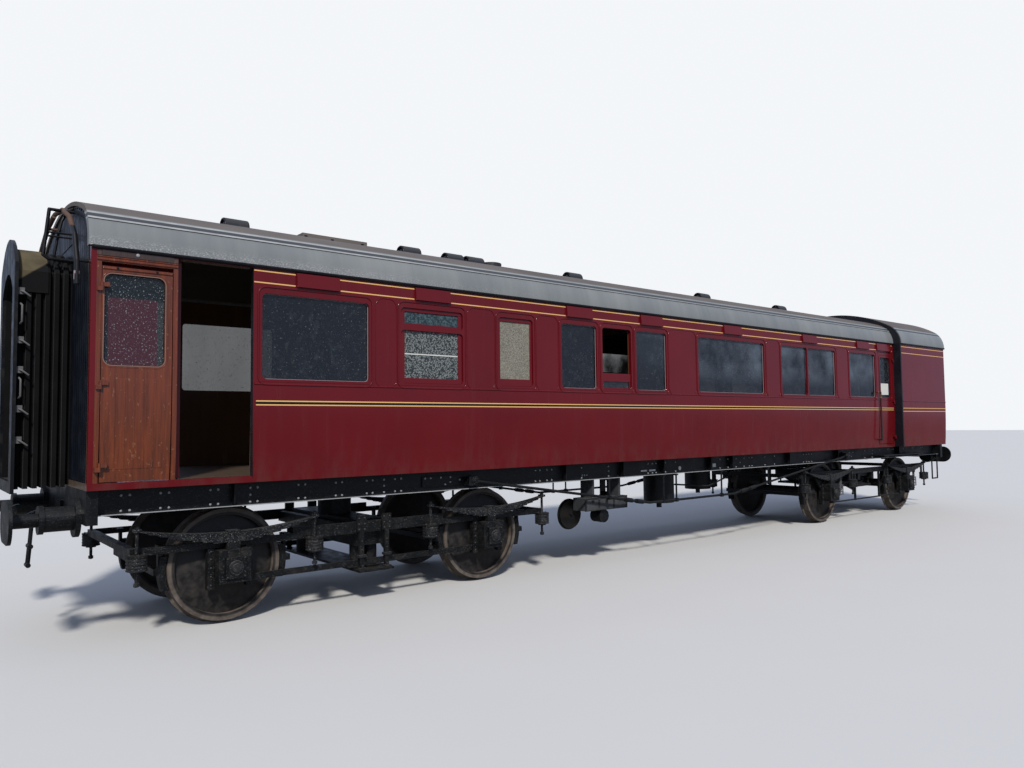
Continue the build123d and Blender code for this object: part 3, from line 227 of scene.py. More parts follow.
def dull_paint(name, colour, dust_colour, gloss=0.45, dust=0.5, scale=6, grain=0.3, glint=0.0):
    # Hard-worked paint with dust on what faces up, grime in patches and bright specks, partly chipped paint
    # and partly painted glints.
    material, tree, shader = begin(name, Specular_IOR_Level=0.3)
    patches = noise(tree, scale, 7, roughness=0.62)
    settled = times(ramp(facing(tree, "Z"), 0.1, 0.95), dust)
    share = calc("MAXIMUM", settled, ramp(patches, 0.5, 0.78, 0, dust))
    paint = blend(share, colour, dust_colour)
    # Painted glints: bright grey specks, as many as glint asks for, with some chipped paint among them.
    glints_and_chips = ramp(noise(tree, 130, 3, (0.6, 1, 1)), 0.58, 0.7, 0, glint)
    coat(shader, blend(glints_and_chips, paint, (0.32, 0.33, 0.34)), ramp(patches, 0.3, 0.75, gloss - 0.1, gloss + 0.25),
         noise(tree, scale * 14, 5), grain, 0.002)
    return material


def roof_paint(name):
    # Grey, brown and dull above the rain strip, cooler and shinier at the sides, flaked near the gangway end,
    # with painted highlights along the rain strip's edges and painted shade in its groove.
    material, tree, shader = begin(name, Specular_IOR_Level=0.45)
    height = along(tree, "Z")
    broad = noise(tree, 0.7, 6, (1, 1.6, 1.6))
    streak = noise(tree, 3, 6, (1, 0.14, 0.14))
    side_grey = blend(ramp(streak, 0.35, 0.7), (0.185, 0.2, 0.205), (0.25, 0.262, 0.262))
    crown_grey = blend(ramp(broad, 0.35, 0.7), (0.11, 0.092, 0.082), (0.16, 0.137, 0.122))
    over = ramp(plus(height, times(broad, 0.02)), up(3.685), up(3.7))
    paint = blend(over, side_grey, crown_grey)
    low, high = up(RAIN_STRIP[0]), up(RAIN_STRIP[1])
    # Painted highlights along both edges of the rain strip, patchy and fading towards the lookout end, and
    # painted shade in the groove between them.
    strip = times(ramp(height, low, low + 0.002), ramp(height, high, high + 0.002, 1, 0))
    strip = times(strip, ramp(along(tree, "X"), at(1.5), at(6), 1, 0.25))
    groove_shade = times(ramp(height, low + 0.016, low + 0.02), ramp(height, high - 0.02, high - 0.016, 1, 0))
    wear_and_highlight = ramp(noise(tree, 20, 5, (0.3, 1, 1)), 0.3, 0.6, 0.35, 1)
    paint = blend(times(strip, wear_and_highlight), paint, (0.42, 0.43, 0.43))
    paint = blend(groove_shade, paint, (0.06, 0.062, 0.066))
    flecks = ramp(noise(tree, 150, 6, (0.4, 1, 1)), 0.5, 0.68)
    near_eave = ramp(height, up(EAVE) + 0.01, up(EAVE) + 0.1, 0.8, 0)
    end_part = ramp(along(tree, "X"), at(1.8), at(5.5), 1, 0.08)
    flaked = times(flecks, times(near_eave, end_part))
    paint = blend(flaked, paint, (0.68, 0.68, 0.66))
    below = ramp(facing(tree, "Z"), -0.12, -0.05, 1, 0)
    coat(shader, blend(below, paint, (0.1, 0.085, 0.06)), ramp(plus(streak, over), 0.3, 1.5, 0.34, 0.7),
         plus(noise(tree, 50, 4), times(broad, 2.5)), 0.12, 0.01)
    return material


def varnished_wood(name, colour, dark, flake=0.5, gloss=0.3, light=None, pane_y=0, glass_colour=None,
                   aged_above=9):
    # Long grain, darker pores and varnish that has lifted in patches, blackened with age above a height.
    material, tree, shader = begin(name, Coat_Weight=0.35, Coat_Roughness=0.18)
    grain = noise(tree, 34, 8, (1, 1, 0.045), 0.7)
    pores = noise(tree, 150, 3, (1, 1, 0.03))
    wood = blend(ramp(grain, 0.32, 0.68), dark, colour)
    wood = blend(ramp(pores, 0.6, 0.8, 0, 0.6), wood, tuple(0.45 * c for c in dark))
    lifted = times(ramp(noise(tree, 40, 7, (1, 1, 0.5)), 0.62, 0.7), flake)
    wood = blend(lifted, wood, (0.36, 0.2, 0.11))
    aged = calc("GREATER_THAN", along(tree, "Z"), aged_above)
    wood = blend(aged, wood, blend(grain, (0.028, 0.017, 0.014), (0.085, 0.05, 0.04)))
    coat(shader, wood, plus(times(lifted, 0.5), gloss), plus(grain, lifted), 0.3, 0.002)
    if light:
        # A dull maroon board shows through the lower part of the door's glass.
        board = pane_mask(tree, pane_y, 0.134, BACKING[1], light[2], BACKING[3])
        set_pane(tree, shader, light, pane_y, blend(board, glass_colour, (0.085, 0.026, 0.036)))
    return material


def window_glass(name, colour, solidity, dirt):
    # Glass painted dark, as painted shade of the dim inside, with dried drops and dust.
    material, tree, shader = begin(name, Specular_IOR_Level=0.75, IOR=1.52)
    spots = noise(tree, 55, 6)
    film = noise(tree, 2.2, 5, (1, 1, 0.4))
    mark = times(ramp(spots, 0.62, 0.7), dirt)
    # Painted reflections: leafy pale mottling of trees on all panes, and a cloudy bluish sky high on the
    # panes towards the lookout end.
    tree_reflection = ramp(noise(tree, 16, 7, (1, 1, 0.8), 0.7), 0.52, 0.7, 0, 0.35)
    glass_colour = blend(tree_reflection, colour, (0.1, 0.115, 0.12))
    cloud = ramp(noise(tree, 1.7, 5), 0.36, 0.62)
    high = ramp(along(tree, "Z"), up(2.42), up(2.7))
    far_end = ramp(along(tree, "X"), at(6), at(8.5), 0, 0.8)
    sky_reflection = times(times(cloud, high), far_end)
    glass_colour = blend(sky_reflection, glass_colour, (0.1, 0.125, 0.155))
    glass_colour = blend(mark, glass_colour, (0.32, 0.33, 0.32))
    coat(shader, glass_colour, ramp(plus(mark, film), 0.4, 1.3, 0.03, 0.3), noise(tree, 1.5, 1), 0.05, 0.01)
    # The painted sky reflection also makes the glass less see-through.
    thick = plus(plus(mark, sky_reflection), times(film, 0.3))
    feed(shader, Alpha=ramp(thick, 0.1, 0.9, solidity, 0.95))
    return material


def pipe_finish(name):
    # Rusty above, black paint left below.
    material, tree, shader = begin(name, Specular_IOR_Level=0.35)
    rust = ramp(plus(along(tree, "Z"), times(noise(tree, 30, 4), 0.03)), up(3.59), up(3.6))
    brown = blend(noise(tree, 14, 5), (0.085, 0.042, 0.028), (0.14, 0.085, 0.06))
    coat(shader, blend(rust, (0.01, 0.01, 0.012), brown), ramp(rust, 0, 1, 0.35, 0.75),
         noise(tree, 120, 4), 0.3, 0.001)
    return material


def frosted_glass(name):
    # Coarse crackle, darker in the toplight and finer and warmer in the plain sash.
    material, tree, shader = begin(name, Specular_IOR_Level=0.6)
    crackle = node(tree, "TexVoronoi", feature="F1")
    feed(crackle, Scale=62, Vector=place(tree))
    cell = crackle.outputs["Distance"]
    coarse = ramp(plus(cell, noise(tree, 90, 3)), 0.75, 1.15)
    paint = blend(coarse, (0.24, 0.26, 0.25), (0.02, 0.027, 0.03))
    in_toplight = calc("GREATER_THAN", along(tree, "Z"), up(2.875))
    dark = blend(ramp(noise(tree, 60, 5), 0.4, 0.62), (0.008, 0.018, 0.024), (0.07, 0.12, 0.135))
    paint = blend(in_toplight, paint, dark)
    in_sash = calc("GREATER_THAN", along(tree, "X"), at(4.0))
    warm = blend(ramp(noise(tree, 130, 3), 0.35, 0.65), (0.09, 0.085, 0.06), (0.36, 0.335, 0.27))
    coat(shader, blend(in_sash, paint, warm), ramp(cell, 0, 0.7, 0.2, 0.5), cell, 0.7, 0.004)
    return material


def worn_cloth(name, colour, dark, weave=420, black_foot=False):
    material, tree, shader = begin(name, Sheen_Weight=0.05, Specular_IOR_Level=0.15)
    threads = node(tree, "TexWave", wave_type="BANDS", bands_direction="DIAGONAL")
    feed(threads, Scale=weave, Distortion=1.5, Vector=place(tree))
    stain = noise(tree, 5, 7)
    cloth = blend(ramp(stain, 0.3, 0.7), dark, colour)
    if black_foot:
        # The side flaps are blackened below a line that rises away from the face plate.
        level = minus(along(tree, "Z"), times(along(tree, "X"), 0.8))
        edge = up(3.15) - 0.8 * at(-0.42)
        black = ramp(plus(level, times(stain, 0.02)), edge, edge + 0.02, 1, 0)
        cloth = blend(black, cloth, (0.008, 0.008, 0.009))
    coat(shader, cloth, 0.92, plus(threads.outputs["Fac"], times(stain, 6)), 0.4, 0.003)
    return material


def bare_metal(name, colour, rust, rust_share=0.4, gloss=0.3):
    material, tree, shader = begin(name, Metallic=0.75)
    patches = noise(tree, 9, 8, roughness=0.65)
    share = ramp(patches, 0.62 - rust_share * 0.4, 0.75 - rust_share * 0.2)
    coat(shader, blend(share, colour, rust), ramp(share, 0, 1, gloss, 0.8), noise(tree, 120, 4), 0.25, 0.0015)
    return material


def wheel_finish(name, axle_x):
    # Black wheel faces and axle, brownish worn tread, flange and rim.
    material, tree, shader = begin(name, Specular_IOR_Level=0.4)
    sideways = calc("ABSOLUTE", facing(tree, "Y"))
    out = calc("ABSOLUTE", along(tree, "Y"))
    at_rim = between(out, 0.68, 0.816)
    tread = times(ramp(sideways, 0.5, 0.75, 1, 0), at_rim)
    run = calc("POWER", minus(along(tree, "X"), axle_x), 2)
    rise = calc("POWER", minus(along(tree, "Z"), up(WHEEL_RADIUS)), 2)
    distance = calc("SQRT", plus(run, rise))
    tread = calc("MAXIMUM", tread, ramp(distance, 0.488, 0.5, 0, 0.75))
    grime = ramp(noise(tree, 14, 6), 0.35, 0.7)
    black = blend(grime, (0.008, 0.008, 0.009), (0.04, 0.034, 0.03))
    brown = blend(grime, (0.1, 0.078, 0.062), (0.2, 0.165, 0.135))
    coat(shader, blend(tread, black, brown), ramp(grime, 0, 1, 0.4, 0.65), noise(tree, 90, 4), 0.3, 0.002)
    return material


def handle_finish(name):
    # Black bar with worn brass where hands reach it. The noise, which lies round 0.5, frays the edge.
    material, tree, shader = begin(name, Specular_IOR_Level=0.5)
    wear_and_highlight = ramp(plus(along(tree, "Z"), noise(tree, 12, 3)), up(2.3) + 0.5, up(2.36) + 0.5)
    coat(shader, blend(wear_and_highlight, (0.02, 0.013, 0.012), (0.42, 0.26, 0.13)), ramp(wear_and_highlight, 0, 1, 0.45, 0.3),
         noise(tree, 80, 3), 0.15, 0.001)
    return material


MAROON_TONES = ((0.138, 0.005, 0.0085), (0.115, 0.004, 0.0068))
MAROON = coach_paint("coach_maroon", *MAROON_TONES)
LOOKOUT_MAROON = coach_paint("lookout_maroon", *MAROON_TONES, LOOKOUT_INNER_FACE)
END_DOOR_MAROON = coach_paint("end_door_maroon", *MAROON_TONES, INNER_FACE, END_DOOR_LIGHT, LEAF_PANE_Y)
SLIDE_DOOR_MAROON = coach_paint("slide_door_maroon", *MAROON_TONES, 1.0, SLIDE_DOOR_LIGHT, SLIDE_PANE_Y)
GOLD = dull_paint("lining_gold", (0.85, 0.5, 0.18), (0.6, 0.38, 0.18), 0.35, 0.3, 20, 0.05)
LINE_BLACK = dull_paint("lining_black", (0.008, 0.008, 0.009), (0.03, 0.028, 0.026), 0.25, 0.2, 8, 0.05)
ROOF = roof_paint("roof_grey_paint")
# FRAME_BLACK, BOX_GREY, GEAR_BLACK and SPRING_BLACK end with their share of painted glints, the springs the
# most.
FRAME_BLACK = dull_paint("frame_black_paint", (0.0035, 0.004, 0.005), (0.036, 0.036, 0.038),
                         0.36, 0.4, 7, 0.35, 0.15)
BOX_GREY = dull_paint("battery_box_grey", (0.05, 0.053, 0.057), (0.12, 0.12, 0.12), 0.42, 0.5, 5, 0.2, 0.2)
GEAR_BLACK = dull_paint("gear_black_paint", (0.004, 0.0045, 0.005), (0.05, 0.044, 0.038),
                        0.4, 0.5, 11, 0.6, 0.25)
SPRING_BLACK = dull_paint("spring_black_paint", (0.006, 0.0065, 0.0075), (0.08, 0.078, 0.075),
                          0.35, 0.6, 18, 0.8, 0.8)
END_BLACK = dull_paint("end_black_paint", (0.004, 0.006, 0.011), (0.03, 0.035, 0.045), 0.33, 0.3, 4, 0.2)
GUTTER_BLACK = dull_paint("gutter_black_paint", (0.01, 0.01, 0.014), (0.04, 0.04, 0.045), 0.3, 0.3, 6, 0.1)
VENT_GREY = dull_paint("vent_grey_paint", (0.03, 0.032, 0.038), (0.11, 0.1, 0.095), 0.4, 0.4, 12, 0.2)
GANGWAY_BLACK = dull_paint("gangway_black_paint", (0.004, 0.0045, 0.006), (0.04, 0.037, 0.034),
                           0.35, 0.35, 9, 0.25)
WOOD_TONES = ((0.21, 0.046, 0.014), (0.08, 0.02, 0.009), 0.45, 0.25)
WOOD = varnished_wood("varnished_teak", *WOOD_TONES, aged_above=up(3.281))
WOOD_LEAF = varnished_wood("varnished_leaf", *WOOD_TONES, WOOD_DOOR_LIGHT, LEAF_PANE_Y, (0.012, 0.02, 0.022))
HANDLE = handle_finish("worn_handle")
WEATHERED_WOOD = varnished_wood("weathered_board", (0.10, 0.052, 0.036), (0.045, 0.026, 0.02), 0.25, 0.5)
INSIDE_WOOD = varnished_wood("inside_panelling", (0.19, 0.1, 0.05), (0.09, 0.045, 0.022), 0.1, 0.4)
FLOOR_WOOD = varnished_wood("floor_boards", (0.13, 0.085, 0.055), (0.07, 0.045, 0.03), 0.2, 0.6)
# The dark, mostly opaque glass colour is painted shade standing in for the dim inside.
CLEAR_GLASS = window_glass("window_glass_dark", (0.008, 0.011, 0.016), 0.62, 0.6)
FROSTED = frosted_glass("obscured_glass")
CANVAS = worn_cloth("khaki_canvas", (0.15, 0.12, 0.07), (0.07, 0.058, 0.036), 420, True)
BELLOWS_CLOTH = worn_cloth("bellows_black_cloth", (0.007, 0.007, 0.008), (0.003, 0.003, 0.0035), 300)
STEEL = bare_metal("measuring_wheel_steel", (0.035, 0.034, 0.033), (0.03, 0.024, 0.02), 0.5, 0.4)
WHITE = dull_paint("label_white", (0.72, 0.71, 0.67), (0.4, 0.37, 0.33), 0.4, 0.35, 30, 0.1)
PIPE = pipe_finish("end_pipe_rust_and_paint")
TAG_PINK = dull_paint("pipe_tag_pale_pink", (0.42, 0.32, 0.34), (0.28, 0.22, 0.22), 0.5, 0.3, 20, 0.2)
PUTTY = dull_paint("glazing_putty_grey", (0.33, 0.33, 0.34), (0.2, 0.19, 0.19), 0.45, 0.4, 20, 0.1)
# A pale brown bead colour: a painted glint round the wooden door's light.
BEAD_GLINT = dull_paint("bead_painted_glint", (0.26, 0.17, 0.13), (0.13, 0.07, 0.05), 0.4, 0.4, 20, 0.2)
DULL_MAROON = dull_paint("dull_maroon_board", (0.085, 0.018, 0.026), (0.06, 0.014, 0.02), 0.6, 0.3, 6, 0.1)
# Light grey for the bolt heads, partly worn paint and partly painted highlights, and for the painted
# highlight on the solebar's lower edge.
BOLT_HIGHLIGHT_GREY = dull_paint("bolt_heads_worn_and_highlit", (0.34, 0.35, 0.36), (0.6, 0.6, 0.58), 0.35, 0.6, 30, 0.2)
GEAR_BRIGHT = dull_paint("gear_worn_edges", (0.018, 0.019, 0.021), (0.12, 0.11, 0.1), 0.42, 0.6, 22, 0.3)
FITTING_STEEL = dull_paint("grey_fittings", (0.11, 0.11, 0.115), (0.24, 0.23, 0.22), 0.4, 0.5, 18, 0.3)

NODE_FINISH = {}
for finish, names in (
        (MAROON, "body_sides waist_rails vent_hoods window_frames"), (LOOKOUT_MAROON, "lookout_sides"),
        (SLIDE_DOOR_MAROON, "slide_door_near slide_door_far"), (WOOD_LEAF, "wood_door_near wood_door_far"),
        (END_DOOR_MAROON, "end_door_near end_door_far"), (END_BLACK, "gangway_end_wall lookout_end_wall"),
        (ROOF, "roof lookout_roof roof_hatch"), (GUTTER_BLACK, "gutters lookout_front"),
        (VENT_GREY, "roof_vents"), (CLEAR_GLASS, "clear_glass"), (FROSTED, "frosted_glass"),
        (WOOD, "door_frames"), (HANDLE, "grab_handles"), (FLOOR_WOOD, "floor"), (INSIDE_WOOD, "partitions"),
        (GANGWAY_BLACK, "gangway_face_plate"), (BELLOWS_CLOTH, "gangway_bellows"), (CANVAS, "gangway_canopy"),
        (PIPE, "end_pipes"), (STEEL, "measuring_wheel"), (BOX_GREY, "battery_boxes")):
    NODE_FINISH.update(dict.fromkeys(names.split(), finish))

# Every other node is frame black, and each wheelset is painted round its own axle.
for name, cad_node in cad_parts.items():
    if "wheelset" in name:
        letter, number = name.split("_")[1], int(name[-1])
        finish = wheel_finish(f"{name}_paint", at(BOGIES[letter]) + (2 * number - 3) * AXLE_X)
    elif name.startswith("bogie_"):
        finish = SPRING_BLACK if "spring" in name else GEAR_BLACK
    else:
        finish = NODE_FINISH.get(name, FRAME_BLACK)
    cad_node.data.materials.clear()
    cad_node.data.materials.append(finish)


# Stage, light and camera

def add_object(name, data):
    made = bpy.data.objects.new(name, data)
    scene.collection.objects.link(made)
    return made


def pale_surface(name, colour):
    # Pale to the camera, and darker to all other rays so that little light comes up under the coach.
    material, tree, shader = begin(name, Roughness=0.9, Specular_IOR_Level=0.1)
    pale = blend(noise(tree, 0.8, 3), colour, tuple(0.97 * c for c in colour))
    seen = node(tree, "LightPath").outputs["Is Camera Ray"]
    feed(shader, Base_Color=blend(seen, tuple(0.3 * c for c in colour), pale))
    return material


def make_stage():
    mesh = bmesh.new()
    bmesh.ops.create_grid(mesh, x_segments=2, y_segments=2, size=150)
    data = bpy.data.meshes.new("studio_floor")
    mesh.to_mesh(data)
    mesh.free()
    floor = add_object("studio_floor", data)
    data.materials.append(pale_surface("studio_floor_pale", (0.7, 0.69, 0.67)))


def make_world():
    world = bpy.data.worlds.new("studio")
    scene.world = world
    world.use_nodes = True
    tree = world.node_tree
    tree.nodes.clear()
    mix = node(tree, "MixShader")
    feed(mix, Fac=node(tree, "LightPath").outputs["Is Camera Ray"])
    # The sky that gives the light, and the pale one that the camera sees
    for socket, colour, strength in ((1, (0.6, 0.72, 1), 0.5), (2, (0.9, 0.92, 0.95), 1)):
        sky = node(tree, "Background")
        feed(sky, Color=colour, Strength=strength)
        wire(sky.outputs["Background"], mix.inputs[socket])
    feed(node(tree, "OutputWorld"), Surface=mix.outputs["Shader"])


def make_sun(name, strength, spread_deg, aim):
    light = bpy.data.lights.new(name, "SUN")
    light.energy = strength
    light.angle = math.radians(spread_deg)
    light.color = (1, 0.965, 0.91)
    lamp = add_object(name, light)
    lamp.rotation_mode = "QUATERNION"
    lamp.rotation_quaternion = Vector(aim).to_track_quat("-Z", "Y")


def make_camera():
    # The view of the photograph: turned 38.9 degrees towards the lookout end, a little upwards.
    yaw, pitch, roll = math.radians(38.92), math.radians(3.097), math.radians(-0.661)
    ahead = Vector((math.sin(yaw) * math.cos(pitch), math.cos(yaw) * math.cos(pitch), math.sin(pitch)))
    level = Vector((math.cos(yaw), -math.sin(yaw), 0))
    above = level.cross(ahead)
    right = math.cos(roll) * level + math.sin(roll) * above
    top = math.cos(roll) * above - math.sin(roll) * level
    lens = bpy.data.cameras.new("camera")
    lens.sensor_width = 36
    lens.lens = 27.04
    lens.clip_end = 400
    camera = add_object("camera", lens)
    turned = Matrix((right, top, -ahead)).transposed().to_4x4()
    camera.matrix_world = Matrix.Translation((at(-1.254), -8.36, up(1.826))) @ turned
    scene.camera = camera


make_stage()
make_world()
make_sun("key_sun", 3.0, 6, (0.5, 0.8, -0.8))
make_camera()
scene.view_settings.view_transform = "Standard"


# Making pieces

def add_block(mesh, x0, x1, y0, y1, z0, z1):
    # A block between two stations, two distances from the middle and two heights.
    low, high = Vector(spot(x0, y0, z0)), Vector(spot(x1, y1, z1))
    size = [abs(length) for length in high - low]
    shape = Matrix.Translation((low + high) / 2) @ Matrix.Diagonal((*size, 1))
    bmesh.ops.create_cube(mesh, size=1, matrix=shape)


def add_bar(mesh, start, end, radius, sides=12):
    start, end = Vector(start), Vector(end)
    turn = (end - start).to_track_quat("Z", "Y").to_matrix().to_4x4()
    bmesh.ops.create_cone(mesh, cap_ends=True, segments=sides, radius1=radius, radius2=radius,
                          depth=(end - start).length, matrix=Matrix.Translation((start + end) / 2) @ turn)


def add_rod(mesh, points, radius, sides=10):
    # A bent rod: straight runs with a ball at each bend.
    for first, second in zip(points, points[1:]):
        add_bar(mesh, first, second, radius, sides)
    for point in points[1:-1]:
        ball = Matrix.Translation(point)
        bmesh.ops.create_uvsphere(mesh, u_segments=sides, v_segments=6, radius=radius, matrix=ball)


def add_spun(mesh, profile, centre, axis=(0, 1, 0), sides=24, ring=False):
    # A round form: the profile is (along the axis, radius), from middle to middle or closed in a ring.
    axis = Vector(axis)
    shape = Matrix.Translation(centre) @ axis.to_track_quat("Z", "Y").to_matrix().to_4x4()
    older = set(mesh.verts)
    verts = [mesh.verts.new(shape @ Vector((radius, 0, along))) for along, radius in profile]
    pairs = list(zip(verts, verts[1:])) + ([(verts[-1], verts[0])] if ring else [])
    edges = [mesh.edges.new(pair) for pair in pairs]
    bmesh.ops.spin(mesh, geom=verts + edges, cent=centre, axis=axis, angle=math.tau, steps=sides,
                   use_merge=True)
    spun = [vert for vert in mesh.verts if vert not in older]
    bmesh.ops.remove_doubles(mesh, verts=spun, dist=1e-5)


def add_frame(mesh, left, right, foot, head, corner, width, proud, face=BODY_HALF, sunk=SUNK):
    # A ring with rounded corners round an opening, from inside a face to proud of it.
    size = Matrix.Diagonal((right - left + 2 * width, head - foot + 2 * width, 1, 1))
    middle = Matrix.Translation(spot((left + right) / 2, face - sunk, (foot + head) / 2))
    older = set(mesh.faces)
    corners = bmesh.ops.create_grid(mesh, x_segments=1, y_segments=1, size=0.5,
                                    matrix=middle @ Matrix.Rotation(math.pi / 2, 4, "X") @ size)["verts"]
    bmesh.ops.bevel(mesh, geom=corners, offset=corner + width, segments=5, profile=0.5,
                    affect="VERTICES", material=-1)
    opening = [made for made in mesh.faces if made not in older]
    ring = bmesh.ops.inset_region(mesh, faces=opening, thickness=width, use_boundary=True,
                                  use_even_offset=True)["faces"]
    bmesh.ops.delete(mesh, geom=opening, context="FACES")
    grown = bmesh.ops.extrude_face_region(mesh, geom=ring)
    moved = [v for v in grown["geom"] if isinstance(v, bmesh.types.BMVert)]
    bmesh.ops.translate(mesh, vec=(0, sunk + proud, 0), verts=moved)


def flip_across(mesh, verts):
    bmesh.ops.scale(mesh, vec=(1, -1, 1), verts=verts)


def add_piece(mesh, name, material, body="body", bevel=0.0, smooth_deg=35, mirrored=True):
    # Makes a piece of the mesh, on both sides of the coach if it is mirrored.
    if mirrored:
        whole = mesh.verts[:] + mesh.edges[:] + mesh.faces[:]
        copied = bmesh.ops.duplicate(mesh, geom=whole)["geom"]
        flip_across(mesh, [v for v in copied if isinstance(v, bmesh.types.BMVert)])
    bmesh.ops.recalc_face_normals(mesh, faces=mesh.faces[:])
    limit = math.radians(smooth_deg)
    for face in mesh.faces:
        face.smooth = True
    for edge in mesh.edges:
        edge.smooth = len(edge.link_faces) == 2 and edge.calc_face_angle(0) < limit
    data = bpy.data.meshes.new(name)
    mesh.to_mesh(data)
    mesh.free()
    piece = add_object(name, data)
    data.materials.append(material)
    if bevel:
        rounding = piece.modifiers.new("edges", "BEVEL")
        rounding.width = bevel
        rounding.segments = 2
        rounding.limit_method = "ANGLE"
    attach(piece, body)


# Lining, beads and sashes of the body sides

# Left edge, right edge, hooded or not, clear glass or not
WINDOWS = [
    (1.438, 2.56, True, True), (2.938, 3.742, True, False), (4.25, 4.778, False, False),
    (5.25, 5.869, True, True), (5.974, 6.526, False, False), (6.629, 7.256, True, True),
    (7.979, 9.672, True, True), (10.178, 11.9, True, True), (12.412, 13.385, True, True),
]
# Plain panels between the windows: left edge, right edge
PANELS = [(2.64, 2.882), (3.805, 4.19), (4.838, 5.19), (7.316, 7.92), (9.735, 10.118), (11.96, 12.352)]
GLASS_FOOT, GLASS_HEAD = 2.29, 3.1
BEAD_FOOT, BEAD_HEAD = 2.245, 3.157
BEAD_OUT = 0.032
HOOD_HALF = 0.225
END_HOOD = (13.442, 14.002)
HOOD_GAP = 0.008
SIDE_START, SIDE_END = 1.36, 14.1
WAIST_SPAN = (1.385, 13.495)
END_DOOR_SPAN = (13.52, 14.085)
LOOKOUT_SPAN = (14.18, 16.128)
LINE_HALF = 0.006
LINE_PROUD = 0.0008
WAIST_LINES = (2.047, 2.083)
UPPER_LINES = (3.2, 3.31)
LOOKOUT_LINES = (2.019, 2.08, 3.168, 3.291)
PANE_Y = 1.27
BRACKET_FOOT = 1.2405


def side_y(height, half):
    drop = max(0, (WAIST - height) / (WAIST - SIDE_FOOT))
    return half - TURN_UNDER * drop * drop


def add_strip(mesh, start, end, foot, head, proud, half=BODY_HALF, steps=1):
    # A thin layer on the side, as curved as the side is.
    rings = []
    for index in range(steps + 1):
        height = foot + (head - foot) * index / steps
        low, high = side_y(height, half) - SUNK, side_y(height, half) + proud
        places = ((start, low), (end, low), (end, high), (start, high))
        rings.append([mesh.verts.new(spot(station, y, height)) for station, y in places])
    for low, high in zip(rings, rings[1:]):
        for k in range(4):
            mesh.faces.new((low[k], low[(k + 1) % 4], high[(k + 1) % 4], high[k]))
    mesh.faces.new(rings[0][::-1])
    mesh.faces.new(rings[-1])


def add_lines(mesh, span, heights, half=BODY_HALF):
    for height in heights:
        add_strip(mesh, *span, height - LINE_HALF, height + LINE_HALF, LINE_PROUD, half)


def add_black(mesh, span):
    # The black between both waist lines.
    low, high = WAIST_LINES
    add_strip(mesh, *span, low + LINE_HALF, high - LINE_HALF, LINE_PROUD / 2)


def make_lining():
    mesh = bmesh.new()
    add_lines(mesh, WAIST_SPAN, WAIST_LINES)
    # The upper lines run from hood to hood.
    middles = [(left + right) / 2 for left, right, hooded, _ in WINDOWS if hooded]
    hoods = [(middle - HOOD_HALF, middle + HOOD_HALF) for middle in middles] + [END_HOOD]
    edges = [SIDE_START - HOOD_GAP] + [edge for hood in hoods for edge in hood] + [SIDE_END]
    for left, right in zip(edges[::2], edges[1::2]):
        add_lines(mesh, (left + HOOD_GAP, right - HOOD_GAP), UPPER_LINES)
    add_lines(mesh, LOOKOUT_SPAN, LOOKOUT_LINES, LOOKOUT_HALF)
    add_piece(mesh, "side_lining_gold", GOLD)
    mesh = bmesh.new()
    add_black(mesh, WAIST_SPAN)
    add_piece(mesh, "side_lining_black", LINE_BLACK)


def make_beads():
    beads, putty = bmesh.new(), bmesh.new()
    for left, right, _, clear in WINDOWS:
        add_frame(beads, left - BEAD_OUT, right + BEAD_OUT, BEAD_FOOT, BEAD_HEAD, 0.07, 0.012, 0.009)
        if clear:
            add_frame(putty, left + 0.005, right - 0.005, GLASS_FOOT + 0.005, GLASS_HEAD - 0.005,
                      0.04, 0.0045, 0.008, PANE_Y, -0.0042)
    for left, right in PANELS:
        add_frame(beads, left, right, BEAD_FOOT, BEAD_HEAD + 0.01, 0.085, 0.009, 0.006)
    add_piece(beads, "side_window_beads", MAROON, bevel=0.0035)
    add_piece(putty, "side_glazing_putty", PUTTY)


def make_sashes():
    # Sashes that stand back in their openings: the one with a toplight, the plain one and the lowered one.
    mesh = bmesh.new()
    face, back = PANE_Y + 0.0045, PANE_Y + 0.016
    low, high = GLASS_FOOT + 0.0005, GLASS_HEAD - 0.0005
    blocks = []
    # Left edge, right edge, width and head of the uprights, then foot and head of each rail
    for left, right, width, top, rails in (
            (2.9385, 3.7415, 0.055, high, ((low, 2.348), (2.858, 2.935), (3.06, high))),
            (4.2505, 4.7775, 0.036, high, ((low, 2.375), (3.054, high))),
            (5.9745, 6.5255, 0.03, 2.391, ((low, 2.312),))):
        # The uprights stand back a little from the rails that they meet.
        blocks += [(left, left + width, low, top, 0.001), (right - width, right, low, top, 0.001)]
        blocks += [(left, right, z0, z1, 0) for z0, z1 in rails]
    for x0, x1, z0, z1, sunk in blocks:
        add_block(mesh, x0, x1, face + sunk, back - sunk, z0, z1)
    add_block(mesh, 5.9745, 6.5255, PANE_Y - 0.008, back + 0.002, 2.391, 2.503)
    add_block(mesh, 2.95, 3.73, back, back + 0.01, 2.885, 2.91)
    add_piece(mesh, "side_sashes", MAROON, bevel=0.003)
    mesh = bmesh.new()
    add_block(mesh, 2.996, 3.684, face - 0.0002, face + 0.002, 2.601, 2.613)
    add_piece(mesh, "side_sash_line", WHITE)


def make_inside_rails():
    # Pale rails across the inside of the last three windows, on small brackets.
    mesh = bmesh.new()
    y, post = 1.215, 12.9
    for (left, right, _, _), height in zip(WINDOWS[-3:], (2.75, 2.74, 2.73)):
        add_bar(mesh, spot(left - 0.06, y, height), spot(right + 0.06, y, height), 0.008)
        for station in (left - 0.04, right + 0.04):
            add_bar(mesh, spot(station, y, height), spot(station, BRACKET_FOOT, height), 0.006)
    add_bar(mesh, spot(post, y, 2.245), spot(post, y, 2.73), 0.008)
    add_bar(mesh, spot(post, y, 2.25), spot(post, BRACKET_FOOT, 2.25), 0.008)
    add_piece(mesh, "inside_window_rails", WHITE)


# Doors

BOARD_FACE = BODY_HALF + 0.0075
LEAF_BOARD = 0.075


